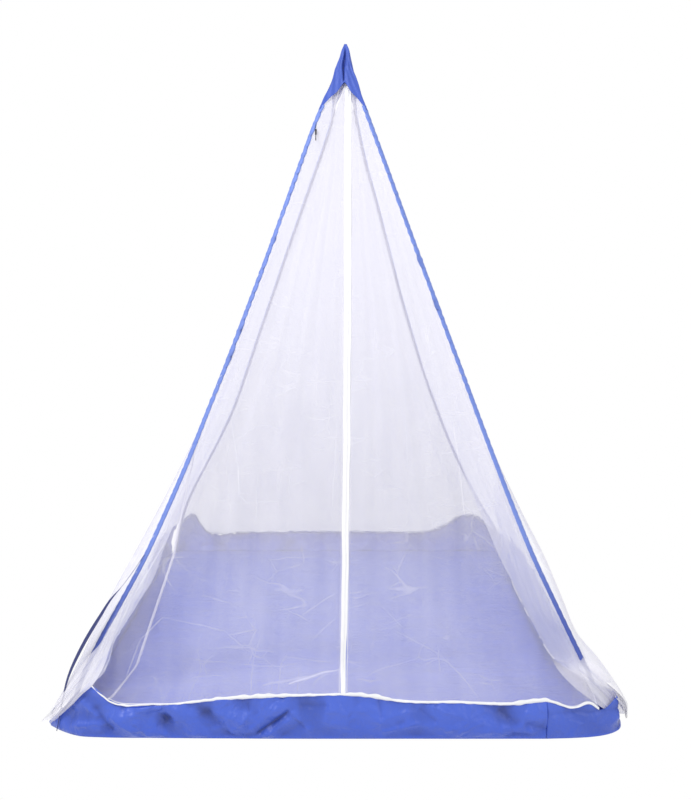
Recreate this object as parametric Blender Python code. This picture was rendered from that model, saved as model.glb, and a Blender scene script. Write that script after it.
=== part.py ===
"""A pop-up bed mosquito net on its pole frame, standing open on the ground.

Metres, +Z up, the zipped front towards -Y. The origin is on the ground under the peak.
Four flexible poles spread from a hub to the corners of a ground sheet. Each runs in a cloth
sleeve, net panels hang between the sleeves, and a low cloth wall stands round the sheet.
"""

import math
from collections import namedtuple

import bmesh
import bpy
from mathutils import Vector

# Driving dimensions, in metres.
GAP = 0.0003  # between pieces that touch
CLEAR = 0.002  # between draped cloth and the edge it hangs over
NET_THICKNESS = 0.001
CLOTH_THICKNESS = 0.0015
ZIP_THICKNESS = 0.002
ZIP_WIDTH = 0.027
POLE_RADIUS = 0.00425
POLE_SIDES = 8
SLEEVE_HALF_WIDTH = 0.0107
SLEEVE_THICKNESS = 0.0012
SLEEVE_ROOM = 0.0005  # between a pole and the flat sides of its sleeve
SLEEVE_FOOT = 0.035
LEAN_STRETCH = 1.13  # a level cut through a leaning pole is this much longer than it is wide
PEAK_HEIGHT = 2.558
HUB_HALF_WIDTH = 0.0225
HUB_HEIGHT = 0.022
HUB_BEVEL = 0.003
WALL_SEAM = 0.012  # the stretch of wall that stands straight up from the ground sheet's edge
WALL_BULGE = 0.012
FALLEN_BULGE = 0.035  # rise of a wall that has fallen inwards, above the straight line to its edge
FALLEN_FROM = 0.4  # how far a wall has fallen, of 1, before it rises so
CAP_TUCK = 0.003  # how far the net's top edge runs up inside the cap
CAP_MIDDLE_EDGE = 2.400
CAP_STANDOFF = 0.0072  # from a pole's centre line to the cap's cloth, along X and along Y
SLEEVE_TOP = 2.290
SLEEVE_DEPTH = (POLE_RADIUS + SLEEVE_ROOM + SLEEVE_THICKNESS) * LEAN_STRETCH
NET_OFFSET = 0.001  # from a sleeve's edge to the middle of the net's edge
NET_TOP_OFFSET = 0.014  # from a bare pole's centre to the net's edge, inside the cap
ZIP_GAP = 0.0005
ZIP_HEAD_X = 0.010
ZIP_FOOT_X = -0.0085
ZIP_DRIFT = 2.5  # the zip runs straight above and drifts to the left near its foot
ZIP_HEM_CLEAR = 0.02  # along the hem, from the zip's edge to the nearest corner of the wall's top
HEM_STEP = 0.20
HEM_PULL = 3  # a panel is straight above, and takes its hem's shape mostly near the hem
FOLD_APART = 0.012  # share of a panel's width: a fold's new columns are no nearer to its old ones
FALL_TURN = 0.3  # how much of a wall's lean along Y the fallen net follows
FALL_BESIDE = 0.3  # share of a fall's distance out, where the net beside it doesn't fall
PULL_OFFSET = Vector((0.006, -0.0106, 0))

# Where each pole is at each height: how far it stands out from the middle along X.
PoleSection = namedtuple("PoleSection", "height front_left front_right back_left back_right")
POLE_SECTIONS = [
    PoleSection(2.440, 0.018, 0.018, 0.018, 0.018),
    PoleSection(2.330, 0.082, 0.066, 0.042, 0.034),
    PoleSection(2.240, 0.120, 0.099, 0.064, 0.052),
    PoleSection(2.080, 0.178, 0.157, 0.122, 0.090),
    PoleSection(1.900, 0.241, 0.221, 0.192, 0.144),
    PoleSection(1.700, 0.312, 0.293, 0.269, 0.200),
    PoleSection(1.500, 0.386, 0.366, 0.344, 0.257),
    PoleSection(1.300, 0.460, 0.439, 0.420, 0.320),
    PoleSection(1.100, 0.538, 0.512, 0.494, 0.387),
    PoleSection(0.900, 0.617, 0.586, 0.573, 0.465),
    PoleSection(0.720, 0.694, 0.655, 0.663, 0.541),
    PoleSection(0.560, 0.767, 0.720, 0.750, 0.616),
    PoleSection(0.420, 0.842, 0.785, 0.826, 0.689),
    PoleSection(0.300, 0.908, 0.842, 0.882, 0.757),
    PoleSection(0.200, 0.956, 0.890, 0.918, 0.815),
    PoleSection(0.100, 0.992, 0.930, 0.944, 0.868),
    PoleSection(0.002, 1.014, 0.956, 0.960, 0.912),
]
# Which way each pole leans: its steps along X and Y for each metre along X.
CORNERS = {
    "front_left": (-1.0, -0.915),
    "front_right": (1.0, -0.955),
    "back_left": (-1.0, 1.0),
    "back_right": (1.0, 1.0),
}
NET_LEVELS = [section.height for section in POLE_SECTIONS[1:-2]]

# A wall station is one upright cut across a wall: its foot on the ground, its top edge, and what
# share of its height the loose net hangs down outside it.
Station = namedtuple("Station", "foot_x foot_y top_x top_y top_z hang", defaults=(0.0,))
FRONT_WALL = [
    Station(-1.062, -0.930, -1.058, -0.926, 0.035),
    Station(-1.015, -0.972, -0.985, -0.955, 0.105),
    Station(-0.955, -0.988, -0.912, -0.962, 0.180),
    Station(-0.880, -0.996, -0.838, -0.985, 0.130),
    Station(-0.700, -1.000, -0.680, -0.988, 0.121),
    Station(-0.420, -1.004, -0.420, -0.988, 0.145),
    Station(-0.150, -1.006, -0.150, -0.988, 0.157),
    Station(0.070, -1.006, 0.070, -0.988, 0.156),
    Station(0.200, -1.006, 0.200, -0.988, 0.134),
    Station(0.400, -1.006, 0.400, -0.988, 0.130),
    Station(0.600, -1.006, 0.600, -0.988, 0.124),
    Station(0.717, -1.006, 0.717, -0.988, 0.136),
]
RIGHT_WALL = [
    Station(0.719, -1.006, 0.719, -0.988, 0.136),
    Station(0.825, -1.000, 0.825, -0.980, 0.106),
    Station(0.880, -0.994, 0.872, -0.974, 0.120),
    Station(0.925, -0.984, 0.912, -0.966, 0.134),
    Station(0.965, -0.967, 0.940, -0.958, 0.094),
    Station(1.000, -0.938, 0.978, -0.938, 0.122, 0.70),
    Station(1.018, -0.890, 0.994, -0.890, 0.112, 0.95),
    Station(1.020, -0.820, 0.978, -0.826, 0.100, 0.95),
    Station(1.017, -0.760, 0.945, -0.762, 0.092, 0.65),
    Station(1.014, -0.690, 0.910, -0.700, 0.085, 0.35),
    Station(1.009, -0.600, 0.882, -0.610, 0.070, 0.15),
    Station(1.006, -0.500, 0.863, -0.520, 0.058),
    Station(1.000, -0.200, 0.852, -0.200, 0.030),
    Station(1.000, 0.150, 0.851, 0.150, 0.022),
    Station(1.000, 0.450, 0.852, 0.450, 0.024),
    Station(0.998, 0.700, 0.862, 0.690, 0.056),
    Station(0.998, 0.870, 0.915, 0.866, 0.096),
    Station(0.985, 0.965, 0.925, 0.958, 0.096),
]
BACK_WALL = [
    Station(0.978, 0.990, 0.900, 0.983, 0.090),
    Station(0.860, 1.000, 0.810, 0.992, 0.153),
    Station(0.760, 1.000, 0.750, 0.990, 0.208),
    Station(0.650, 1.000, 0.640, 0.990, 0.206),
    Station(0.590, 1.000, 0.590, 0.990, 0.170),
    Station(0.480, 1.000, 0.480, 0.990, 0.124),
    Station(0.300, 1.000, 0.300, 0.990, 0.116),
    Station(0.000, 1.000, 0.000, 0.990, 0.118),
    Station(-0.300, 1.000, -0.300, 0.990, 0.115),
    Station(-0.600, 1.000, -0.600, 0.990, 0.117),
    Station(-0.800, 1.000, -0.790, 0.990, 0.124),
    Station(-0.900, 0.998, -0.868, 0.985, 0.228),
    Station(-0.975, 0.990, -0.935, 0.978, 0.170),
]
LEFT_WALL = [
    Station(-0.985, 0.978, -0.950, 0.966, 0.168),
    Station(-1.000, 0.860, -1.000, 0.850, 0.150),
    Station(-1.000, 0.640, -1.006, 0.640, 0.149),
    Station(-1.000, 0.430, -0.980, 0.430, 0.147),
    Station(-1.000, 0.130, -0.950, 0.130, 0.140),
    Station(-1.002, -0.120, -0.938, -0.120, 0.136),
    Station(-1.008, -0.330, -0.943, -0.330, 0.138),
    Station(-1.018, -0.500, -0.945, -0.490, 0.138),
    Station(-1.034, -0.680, -0.926, -0.680, 0.129),
    Station(-1.048, -0.790, -0.930, -0.775, 0.120, 0.15),
    Station(-1.058, -0.850, -0.985, -0.835, 0.095, 0.40),
    Station(-1.063, -0.895, -1.044, -0.886, 0.060, 0.70),
    Station(-1.066, -0.923, -1.062, -0.918, 0.035, 0.80),
]

# The main folds of the net panels: share of the way along the panel, half width as a share of
# the panel's width, how far the crest stands out, and the height at which the fold starts.
NetFold = namedtuple("NetFold", "along half_width depth start")
NET_FOLDS = {
    "net_front_left": [NetFold(0.09, 0.05, 0.020, 0.95), NetFold(0.52, 0.06, 0.010, 0.80)],
    "net_front_right": [NetFold(0.45, 0.06, 0.010, 0.80), NetFold(0.90, 0.05, 0.014, 0.95)],
    "net_right": [NetFold(0.60, 0.15, 0.016, 1.30), NetFold(0.89, 0.10, 0.026, 1.00)],
    "net_back": [NetFold(0.26, 0.04, 0.020, 1.40), NetFold(0.71, 0.04, 0.022, 1.40)],
    "net_left": [NetFold(0.28, 0.11, 0.018, 1.10), NetFold(0.58, 0.12, 0.014, 1.10)],
}
FOLD_FULL_HEIGHT = 0.42  # where a fold stands out most
# How far the slack net beside a front corner swells out, by height.
Swell = namedtuple("Swell", "height left right")
SWELLS = [
    Swell(1.100, 0.000, 0.000),
    Swell(0.720, 0.042, 0.000),
    Swell(0.560, 0.058, 0.010),
    Swell(0.420, 0.066, 0.014),
    Swell(0.300, 0.062, 0.018),
    Swell(0.200, 0.056, 0.060),
]
SWELL_REACH = 0.55  # how far from the corner the swelling runs along the wall
# The fold in which the net falls outside a wall: share of its drop, distance out from the wall,
# and where the same row lies, from the last level row to the hem, in net that doesn't fall.
Fall = namedtuple("Fall", "down out straight")
FALLS = [
    Fall(0.0, 0.030, 0.50),
    Fall(0.5, 0.032, 0.80),
    Fall(1.0, 0.022, 0.93),
    Fall(0.5, 0.022, 0.97),
]

StrapSection = namedtuple("StrapSection", "height out width")
STRAP_SECTIONS = [
    StrapSection(0.580, 0.0083, 0.006),
    StrapSection(0.480, 0.0350, 0.012),
    StrapSection(0.388, 0.0640, 0.018),
    StrapSection(0.290, 0.0700, 0.020),
    StrapSection(0.197, 0.0660, 0.016),
    StrapSection(0.100, 0.0660, 0.012),
    StrapSection(0.004, 0.0700, 0.010),
]

# The cap above the hub: how far it stands out from the middle along X and along Y.
CapSection = namedtuple("CapSection", "height reach")
CAP_SECTIONS = [
    CapSection(2.558, 0.0045),
    CapSection(2.535, 0.0140),
    CapSection(2.502, 0.0245),
    CapSection(2.466, 0.0285),
]
# A cut through one side of the cap: share of the way along it, height of its edge, and pleat.
CapColumn = namedtuple("CapColumn", "along edge pleat")
CAP_COLUMNS = [
    CapColumn(0.00, 2.300, 0.000),
    CapColumn(0.10, 2.306, 0.000),
    CapColumn(0.22, 2.356, 0.000),
    CapColumn(0.40, 2.388, 0.008),
    CapColumn(0.50, 2.400, 0.000),
    CapColumn(0.60, 2.388, 0.008),
    CapColumn(0.78, 2.356, 0.000),
    CapColumn(0.90, 2.306, 0.000),
]
CAP_ROWS = 7
CAP_SIDE_BULGE = 0.006
CAP_BULGE_HEIGHT = 0.04  # the bulges grow to full depth over this height below the tip

# The black pull, from its cord down: distance along it, and radius.
PullSection = namedtuple("PullSection", "along radius")
PULL_SECTIONS = [
    PullSection(0.000, 0.0010),
    PullSection(0.022, 0.0010),
    PullSection(0.024, 0.0038),
    PullSection(0.047, 0.0038),
    PullSection(0.049, 0.0017),
    PullSection(0.068, 0.0022),
    PullSection(0.076, 0.0012),
]
PULL_SIDES = 8
PULL_HEIGHT = 2.222
PULL_SLOPE = 0.49  # how far it leans out with the net for each metre down

NET_WHITE = (0.90, 0.90, 0.93)
ZIP_WHITE = (0.95, 0.95, 0.96)
BLUE = (0.12, 0.20, 0.68)
DARK_BLUE = (0.06, 0.09, 0.38)
POLE_GREY = (0.75, 0.75, 0.78)
HUB_BLACK = (0.08, 0.08, 0.09)
PULL_BLACK = (0.02, 0.02, 0.02)
CLOTH_ROUGHNESS = 0.8
SLEEVE_ROUGHNESS = 0.6
HARD_ROUGHNESS = 0.4
SHARP_EDGE = math.radians(40)


def mix(first, second, share):
    """The point this share of the way from first to second."""
    return first + (second - first) * share


def read_table(sections, column, height):
    """A column of a table read at this height, on straight runs between its sections."""
    for above, below in zip(sections, sections[1:]):
        if above.height >= height >= below.height:
            share = (above.height - height) / (above.height - below.height)
            return mix(getattr(above, column), getattr(below, column), share)
    nearest = sections[0] if height > sections[0].height else sections[-1]
    return getattr(nearest, column)


def pole_centre(corner, height):
    """The centre of a corner's pole at this height."""
    reach = read_table(POLE_SECTIONS, corner, height)
    step_x, step_y = CORNERS[corner]
    return Vector((step_x * reach, step_y * reach, height))


def outward(corner):
    """The level direction in which this corner's pole leans."""
    return Vector((*CORNERS[corner], 0)).normalized()


def sideways(corner):
    """The level direction across this corner's sleeve, a quarter turn left of its lean."""
    lean = outward(corner)
    return Vector((-lean.y, lean.x, 0))


def make_material(name, colour, roughness):
    look = bpy.data.materials.new(name)
    look.use_nodes = True
    shader = look.node_tree.nodes["Principled BSDF"]
    shader.inputs["Base Color"].default_value = (*colour, 1)
    shader.inputs["Roughness"].default_value = roughness
    shader.inputs["Metallic"].default_value = 0
    look.diffuse_color = (*colour, 1)
    return look


def make_object(name, mesh, colour, roughness):
    """One named object from a bmesh, with its own material."""
    data = bpy.data.meshes.new(name)
    mesh.to_mesh(data)
    mesh.free()
    data.materials.append(make_material(name, colour, roughness))
    obj = bpy.data.objects.new(name, data)
    bpy.context.scene.collection.objects.link(obj)
    return obj


def make_sheet(name, rows, thickness, colour):
    """A sheet of cloth through rows of points, thickened both ways into a closed solid."""
    mesh = bmesh.new()
    grid = [[mesh.verts.new(point) for point in row] for row in rows]
    for upper, lower in zip(grid, grid[1:]):
        for column in range(len(upper) - 1):
            corners = upper[column], lower[column], lower[column + 1], upper[column + 1]
            mesh.faces.new(corners)
    obj = make_object(name, mesh, colour, CLOTH_ROUGHNESS)
    thicken = obj.modifiers.new("Thickness", "SOLIDIFY")
    thicken.thickness = thickness
    thicken.offset = 0
    return obj


def make_loft(name, rings, colour, roughness, hollow=False):
    """A solid through rings of points: closed by end faces or, if hollow, from last to first."""
    mesh = bmesh.new()
    loops = [[mesh.verts.new(point) for point in ring] for ring in rings]
    following = loops[1:] + loops[:1] if hollow else loops[1:]
    for upper, lower in zip(loops, following):
        for index in range(len(upper)):
            before = index - 1
            mesh.faces.new((upper[before], lower[before], lower[index], upper[index]))
    if not hollow:
        mesh.faces.new(loops[0])
        mesh.faces.new(loops[-1])
    bmesh.ops.recalc_face_normals(mesh, faces=mesh.faces)
    obj = make_object(name, mesh, colour, roughness)
    obj.data.shade_smooth()
    obj.data.set_sharp_from_angle(angle=SHARP_EDGE)
    return obj


def level_ring(corner, height, along_lean, across):
    """An oval of points round a corner's pole, on a level cut."""
    centre = pole_centre(corner, height)
    ring = []
    for side in range(POLE_SIDES):
        angle = math.tau * side / POLE_SIDES
        step = outward(corner) * along_lean * math.cos(angle)
        ring.append(centre + step + sideways(corner) * across * math.sin(angle))
    return ring


def make_pole(corner):
    rings = [
        level_ring(corner, section.height, POLE_RADIUS * LEAN_STRETCH, POLE_RADIUS)
        for section in POLE_SECTIONS
    ]
    make_loft(f"pole_{corner}", rings, POLE_GREY, HARD_ROUGHNESS)


def make_sleeve(corner):
    """A flattened cloth tube round the pole, open at both ends."""
    heights = [SLEEVE_TOP, *NET_LEVELS[1:], POLE_SECTIONS[-2].height, SLEEVE_FOOT]
    inner_depth = (POLE_RADIUS + SLEEVE_ROOM) * LEAN_STRETCH
    inner_width = SLEEVE_HALF_WIDTH - SLEEVE_THICKNESS
    outside = [level_ring(corner, height, SLEEVE_DEPTH, SLEEVE_HALF_WIDTH) for height in heights]
    inside = [level_ring(corner, height, inner_depth, inner_width) for height in heights]
    make_loft(f"sleeve_{corner}", outside + inside[::-1], BLUE, SLEEVE_ROUGHNESS, hollow=True)


def make_hub():
    """The block that the pole tops butt against."""
    mesh = bmesh.new()
    bmesh.ops.create_cube(mesh, size=1)
    bmesh.ops.scale(mesh, vec=(2 * HUB_HALF_WIDTH, 2 * HUB_HALF_WIDTH, HUB_HEIGHT), verts=mesh.verts)
    upper = [edge for edge in mesh.edges if all(vert.co.z > 0 for vert in edge.verts)]
    bmesh.ops.bevel(mesh, geom=upper, offset=HUB_BEVEL, segments=2, profile=0.5, affect="EDGES")
    obj = make_object("pole_hub", mesh, HUB_BLACK, HARD_ROUGHNESS)
    obj.location.z = POLE_SECTIONS[0].height + GAP + HUB_HEIGHT / 2


def cap_corner(corner, height):
    """A corner of the cap at this height: round the pole below, drawn in to the tip above."""
    step = Vector((math.copysign(1, CORNERS[corner][0]), math.copysign(1, CORNERS[corner][1]), 0))
    lowest, leg_top = CAP_SECTIONS[-1], NET_LEVELS[0]
    if height >= lowest.height:
        return step * read_table(CAP_SECTIONS, "reach", height) + Vector((0, 0, height))
    beside_pole = pole_centre(corner, min(height, leg_top)) + step * CAP_STANDOFF
    share = max(0, (height - leg_top) / (lowest.height - leg_top))
    point = mix(beside_pole, step * lowest.reach, share)
    return Vector((point.x, point.y, height))


def make_cap():
    """The cloth cap: four sides down from the tip, a leg at each corner and a pleat in front."""
    corners = ["front_left", "front_right", "back_right", "back_left"]
    rows = []
    for row in range(CAP_ROWS + 1):
        ring = []
        for side, corner in enumerate(corners):
            following = corners[(side + 1) % 4]
            for column in CAP_COLUMNS:
                height = mix(PEAK_HEIGHT, column.edge, row / CAP_ROWS)
                start, end = cap_corner(corner, height), cap_corner(following, height)
                run = (end - start).normalized()
                out = Vector((run.y, -run.x, 0))
                bulge = CAP_SIDE_BULGE * 4 * column.along * (1 - column.along)
                if side == 0:
                    bulge += column.pleat
                bulge *= min(1, (PEAK_HEIGHT - height) / CAP_BULGE_HEIGHT)
                ring.append(mix(start, end, column.along) + out * bulge)
        rows.append(ring)
    mesh = bmesh.new()
    loops = [[mesh.verts.new(point) for point in ring] for ring in rows]
    mesh.faces.new(loops[0])
    for upper, lower in zip(loops, loops[1:]):
        for index in range(len(upper)):
            before = index - 1
            mesh.faces.new((upper[before], lower[before], lower[index], upper[index]))
    bmesh.ops.recalc_face_normals(mesh, faces=mesh.faces)
    obj = make_object("peak_cap", mesh, BLUE, CLOTH_ROUGHNESS)
    thicken = obj.modifiers.new("Thickness", "SOLIDIFY")
    thicken.thickness = CLOTH_THICKNESS
    thicken.offset = 0


def foot(station):
    return Vector((station.foot_x, station.foot_y, 0))


def top(station):
    return Vector((station.top_x, station.top_y, station.top_z))


def wall_point(station, share):
    """A point of the wall's curve at this share of the way from its seam to its top edge."""
    seam = foot(station) + Vector((0, 0, WALL_SEAM))
    lean = (foot(station) - top(station)).length_squared - station.top_z**2
    fallen = min(1, math.sqrt(max(0, lean)) / (2 * station.top_z))
    away = Vector((station.foot_x, station.foot_y, 0)).normalized()
    middle = mix(seam, top(station), 0.5) + away * WALL_BULGE * (1 - fallen)
    middle.z += 2 * FALLEN_BULGE * max(0, fallen - FALLEN_FROM)
    return mix(mix(seam, middle, share), mix(middle, top(station), share), share)


def make_wall(name, stations):
    """A strip of cloth that stands up from the ground sheet's edge."""
    rows = [[foot(station) for station in stations]]
    for share in (0, 1 / 3, 2 / 3, 1):
        rows.append([wall_point(station, share) for station in stations])
    make_sheet(name, rows, CLOTH_THICKNESS, BLUE)


def make_floor():
    """The flat ground sheet, up to the inner face of the wall's seam."""
    stations = FRONT_WALL[1:-1] + RIGHT_WALL + BACK_WALL[1:-1] + LEFT_WALL[:-1]
    outline = [foot(station) for station in stations]
    inset = CLOTH_THICKNESS / 2 + GAP
    mesh = bmesh.new()
    ring = []
    for index, point in enumerate(outline):
        before, after = outline[index - 1], outline[(index + 1) % len(outline)]
        first, second = (point - before).normalized(), (after - point).normalized()
        into = Vector((-first.y - second.y, first.x + second.x, 0)).normalized()
        lean = into.dot(Vector((-first.y, first.x, 0)))
        ring.append(mesh.verts.new(point + into * inset / lean))
    base = mesh.faces.new(ring)
    raised = bmesh.ops.extrude_face_region(mesh, geom=[base])
    lifted = [item for item in raised["geom"] if isinstance(item, bmesh.types.BMVert)]
    bmesh.ops.translate(mesh, vec=(0, 0, CLOTH_THICKNESS), verts=lifted)
    bmesh.ops.recalc_face_normals(mesh, faces=mesh.faces)
    make_object("floor_sheet", mesh, BLUE, CLOTH_ROUGHNESS)


def sleeve_edge(corner, side, height):
    """Where a net's edge runs beside a sleeve, or beside the bare pole inside the cap."""
    if height > SLEEVE_TOP:
        across = sideways(corner) * side
        if abs(across.x + outward(corner).x) < abs(across.y + outward(corner).y):
            return pole_centre(corner, height) + Vector((math.copysign(NET_TOP_OFFSET, across.x), 0, 0))
        return pole_centre(corner, height) + Vector((0, math.copysign(NET_TOP_OFFSET, across.y), 0))
    return pole_centre(corner, height) + sideways(corner) * side * (SLEEVE_HALF_WIDTH + NET_OFFSET)


def arc_shares(points):
    """How far along a line of points each one is, from 0 to 1."""
    lengths = [0.0]
    for before, point in zip(points, points[1:]):
        lengths.append(lengths[-1] + (point - before).length)
    return [length / lengths[-1] for length in lengths]


def with_fold_columns(line, folds):
    """The same line with points at the crest and at both feet of each fold."""
    shares = arc_shares(line)
    wanted = [fold.along + side * fold.half_width for fold in folds for side in (-1, 0, 1)]
    added = [share for share in wanted if min(abs(share - known) for known in shares) > FOLD_APART]
    points = []
    for share in sorted(shares + added):
        after = next(index for index in range(1, len(shares)) if shares[index] >= share)
        run = (share - shares[after - 1]) / (shares[after] - shares[after - 1])
        points.append(mix(line[after - 1], line[after], run))
    return points


def hang_panel(name, left, right, upper, hem):
    """Rows of points over a net panel, between its two edges, its top edge and its hem."""
    shares = arc_shares(hem)
    first, last = NET_LEVELS[0], mix(hem[0].z, hem[-1].z, 0.5)
    run = (hem[-1] - hem[0]).normalized()
    out = Vector((run.y, -run.x, 0))
    rows = []
    for level, start, end in zip(NET_LEVELS, left, right):
        down = (first - level) / (first - last)
        row = []
        for share, above, below in zip(shares, upper, hem):
            raised = above - mix(upper[0], upper[-1], share)
            drawn = below - mix(hem[0], hem[-1], share)
            point = mix(start, end, share) + raised * (1 - down) + drawn * down**HEM_PULL
            for fold in NET_FOLDS[name]:
                beside = abs(share - fold.along) / fold.half_width
                grown = (fold.start - level) / (fold.start - FOLD_FULL_HEIGHT)
                point += out * fold.depth * max(0, 1 - beside) * min(1, max(0, grown))
            row.append(point)
        rows.append(row)
    return rows


def hem_over(stations):
    """The net's hem, just above the top edge of the wall."""
    line = []
    for station in stations:
        clear = 2 * CLEAR if station.hang else CLEAR
        line.append(top(station) + Vector((0, 0, clear)))
    return line


def divided(points, longest):
    """The same line with more points, none further apart than longest."""
    line = [points[0]]
    for before, point in zip(points, points[1:]):
        parts = math.ceil((point - before).length / longest)
        line += [mix(before, point, part / parts) for part in range(1, parts + 1)]
    return line


def point_at_x(line, x):
    """The point of a line that runs along +X where it passes this x."""
    for before, point in zip(line, line[1:]):
        if before.x <= x <= point.x:
            return mix(before, point, (x - before.x) / (point.x - before.x))
    raise ValueError(f"the line doesn't reach x = {x}")


def upper_edge(start, end, shares):
    """The net's top edge, which rises with the cap's edge from both corners to the middle."""
    line = []
    for share in shares:
        rise = (CAP_MIDDLE_EDGE + CAP_TUCK - NET_LEVELS[0]) * (1 - abs(2 * share - 1))
        height = NET_LEVELS[0] + rise
        spread = read_table(POLE_SECTIONS, "front_left", height) / read_table(
            POLE_SECTIONS, "front_left", NET_LEVELS[0]
        )
        point = mix(start, end, share)
        line.append(Vector((point.x * spread, point.y * spread, height)))
    return line


def front_hem():
    """The whole front hem, from the front left corner to the front right one."""
    return hem_over(FRONT_WALL[2:-1] + RIGHT_WALL[:4])


def front_centre():
    """The zip's centre line, a point for each row of the front net and one at the hem."""
    start, end = sleeve_edge("front_left", 1, NET_LEVELS[0]), sleeve_edge("front_right", -1, NET_LEVELS[0])
    head = upper_edge(start, end, (0.5,))[0]
    heel = point_at_x(front_hem(), ZIP_FOOT_X)
    middle = [
        mix(sleeve_edge("front_left", 1, level), sleeve_edge("front_right", -1, level), 0.5)
        for level in NET_LEVELS
    ]
    line = []
    for level, point in zip(NET_LEVELS, middle):
        down = (NET_LEVELS[0] - level) / (NET_LEVELS[0] - heel.z)
        x = mix(ZIP_HEAD_X, ZIP_FOOT_X, down**ZIP_DRIFT)
        y = point.y + (head.y - middle[0].y) * (1 - down)
        line.append(Vector((x, y, mix(head.z, heel.z, down))))
    return line + [heel]


def make_zip():
    half = Vector((ZIP_WIDTH / 2, 0, 0))
    rows = [[point - half, point + half] for point in front_centre()]
    make_sheet("zip_tape", rows, ZIP_THICKNESS, ZIP_WHITE)


def make_front_net(side):
    """The net on one side of the zip: -1 is the left half and 1 the right half."""
    corner = "front_left" if side < 0 else "front_right"
    beside_zip = [
        point + Vector((side * (ZIP_WIDTH / 2 + ZIP_GAP), 0, 0)) for point in front_centre()
    ]
    beside_sleeve = [sleeve_edge(corner, -side, level) for level in NET_LEVELS]
    stop = beside_zip[-1]
    hem = [point for point in front_hem() if (point.x - stop.x) * side > ZIP_HEM_CLEAR]
    hem = hem + [stop] if side < 0 else [stop] + hem
    name = f"net_{corner}"
    hem = with_fold_columns(divided(hem, HEM_STEP), NET_FOLDS[name])
    edges = (beside_sleeve, beside_zip) if side < 0 else (beside_zip, beside_sleeve)
    start, end = edges[0][0], edges[1][0]
    upper = [mix(start, end, share) for share in arc_shares(hem)]
    rows = hang_panel(name, *edges, upper, hem) + [hem]
    make_sheet(name, rows, NET_THICKNESS, NET_WHITE)


def swell_out(rows, hem, column_name, from_start):
    """Moves the rows beside a front corner outwards, as the slack net swells there."""
    total = sum((after - before).length for before, after in zip(hem, hem[1:]))
    for row, level in zip(rows, NET_LEVELS):
        amount = read_table(SWELLS, column_name, level)
        for index, share in enumerate(arc_shares(hem)):
            away = (share if from_start else 1 - share) * total / SWELL_REACH
            if 0 < away < 1:
                out = Vector((row[index].x, 0, 0)).normalized()
                row[index] += out * amount * math.sin(math.pi * math.sqrt(away))


def fall_rows(above, stations, hem):
    """Rows that take the slack net down outside the wall and back up to its hem."""
    rows = [[] for _ in FALLS]
    for point, station, edge in zip(above, stations, hem):
        away = Vector((station.foot_x, station.foot_y * FALL_TURN, 0)).normalized()
        for row, fall in zip(rows, FALLS):
            if station.hang:
                beside = wall_point(station, 1 - station.hang * fall.down)
                beside.z = max(beside.z, NET_THICKNESS + GAP)
                row.append(beside + away * fall.out)
            else:
                row.append(mix(point, edge, fall.straight) + away * fall.out * FALL_BESIDE)
    return rows


def make_side_net(name, start, end, stations, swell=None, from_start=True):
    """A net panel between two sleeves that stand counter-clockwise, start before end."""
    left = [sleeve_edge(start, 1, level) for level in NET_LEVELS]
    right = [sleeve_edge(end, -1, level) for level in NET_LEVELS]
    hem = hem_over(stations)
    if not swell:
        hem = with_fold_columns(hem, NET_FOLDS[name])
    upper = upper_edge(left[0], right[0], arc_shares(hem))
    rows = hang_panel(name, left, right, upper, hem)
    if swell:
        swell_out(rows, hem, swell, from_start)
        rows += fall_rows(rows[-1], stations, hem)
    make_sheet(name, rows + [hem], NET_THICKNESS, NET_WHITE)


def make_strap():
    """The loose strap outside the front left sleeve."""
    rows = []
    for section in STRAP_SECTIONS:
        centre = pole_centre("front_left", section.height)
        centre += outward("front_left") * section.out
        across = sideways("front_left") * section.width / 2
        rows.append([centre - across, centre, centre + across])
    make_sheet("corner_strap", rows, CLOTH_THICKNESS, DARK_BLUE)


def make_pull():
    """The black pull on its cord, lying down the slope of the net."""
    start = pole_centre("front_left", PULL_HEIGHT) + PULL_OFFSET
    down = Vector((0, -PULL_SLOPE, -1)).normalized()
    across = Vector((1, 0, 0))
    through = down.cross(across)
    rings = []
    for section in PULL_SECTIONS:
        centre = start + down * section.along
        ring = []
        for side in range(PULL_SIDES):
            angle = math.tau * side / PULL_SIDES
            ring.append(centre + (across * math.cos(angle) + through * math.sin(angle)) * section.radius)
        rings.append(ring)
    make_loft("pull_toggle", rings, PULL_BLACK, HARD_ROUGHNESS)


def main():
    for obj in list(bpy.data.objects):
        bpy.data.objects.remove(obj, do_unlink=True)
    make_floor()
    make_wall("wall_front", FRONT_WALL)
    make_wall("wall_right", RIGHT_WALL)
    make_wall("wall_back", BACK_WALL)
    make_wall("wall_left", LEFT_WALL)
    for corner in CORNERS:
        make_pole(corner)
        make_sleeve(corner)
    make_hub()
    make_cap()
    make_zip()
    for side in (-1, 1):
        make_front_net(side)
    make_side_net("net_right", "front_right", "back_right", RIGHT_WALL[5:-1], "right", True)
    make_side_net("net_back", "back_right", "back_left", BACK_WALL)
    make_side_net("net_left", "back_left", "front_left", LEFT_WALL, "left", False)
    make_strap()
    make_pull()


main()
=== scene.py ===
"""The looks of a pop-up bed mosquito net that stands open on its pole frame.

Metres, +Z up, the zipped front towards -Y, the origin on the ground under the peak. Each class
is one sub-assembly of the net: it holds its sizes and builds its cloth. fit_piece then gives the
piece its finish and its body, and hides the solids it stands for.
"""

from __future__ import annotations

import logging
import math
from dataclasses import dataclass
from enum import Enum
from typing import NamedTuple, Sequence

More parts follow.
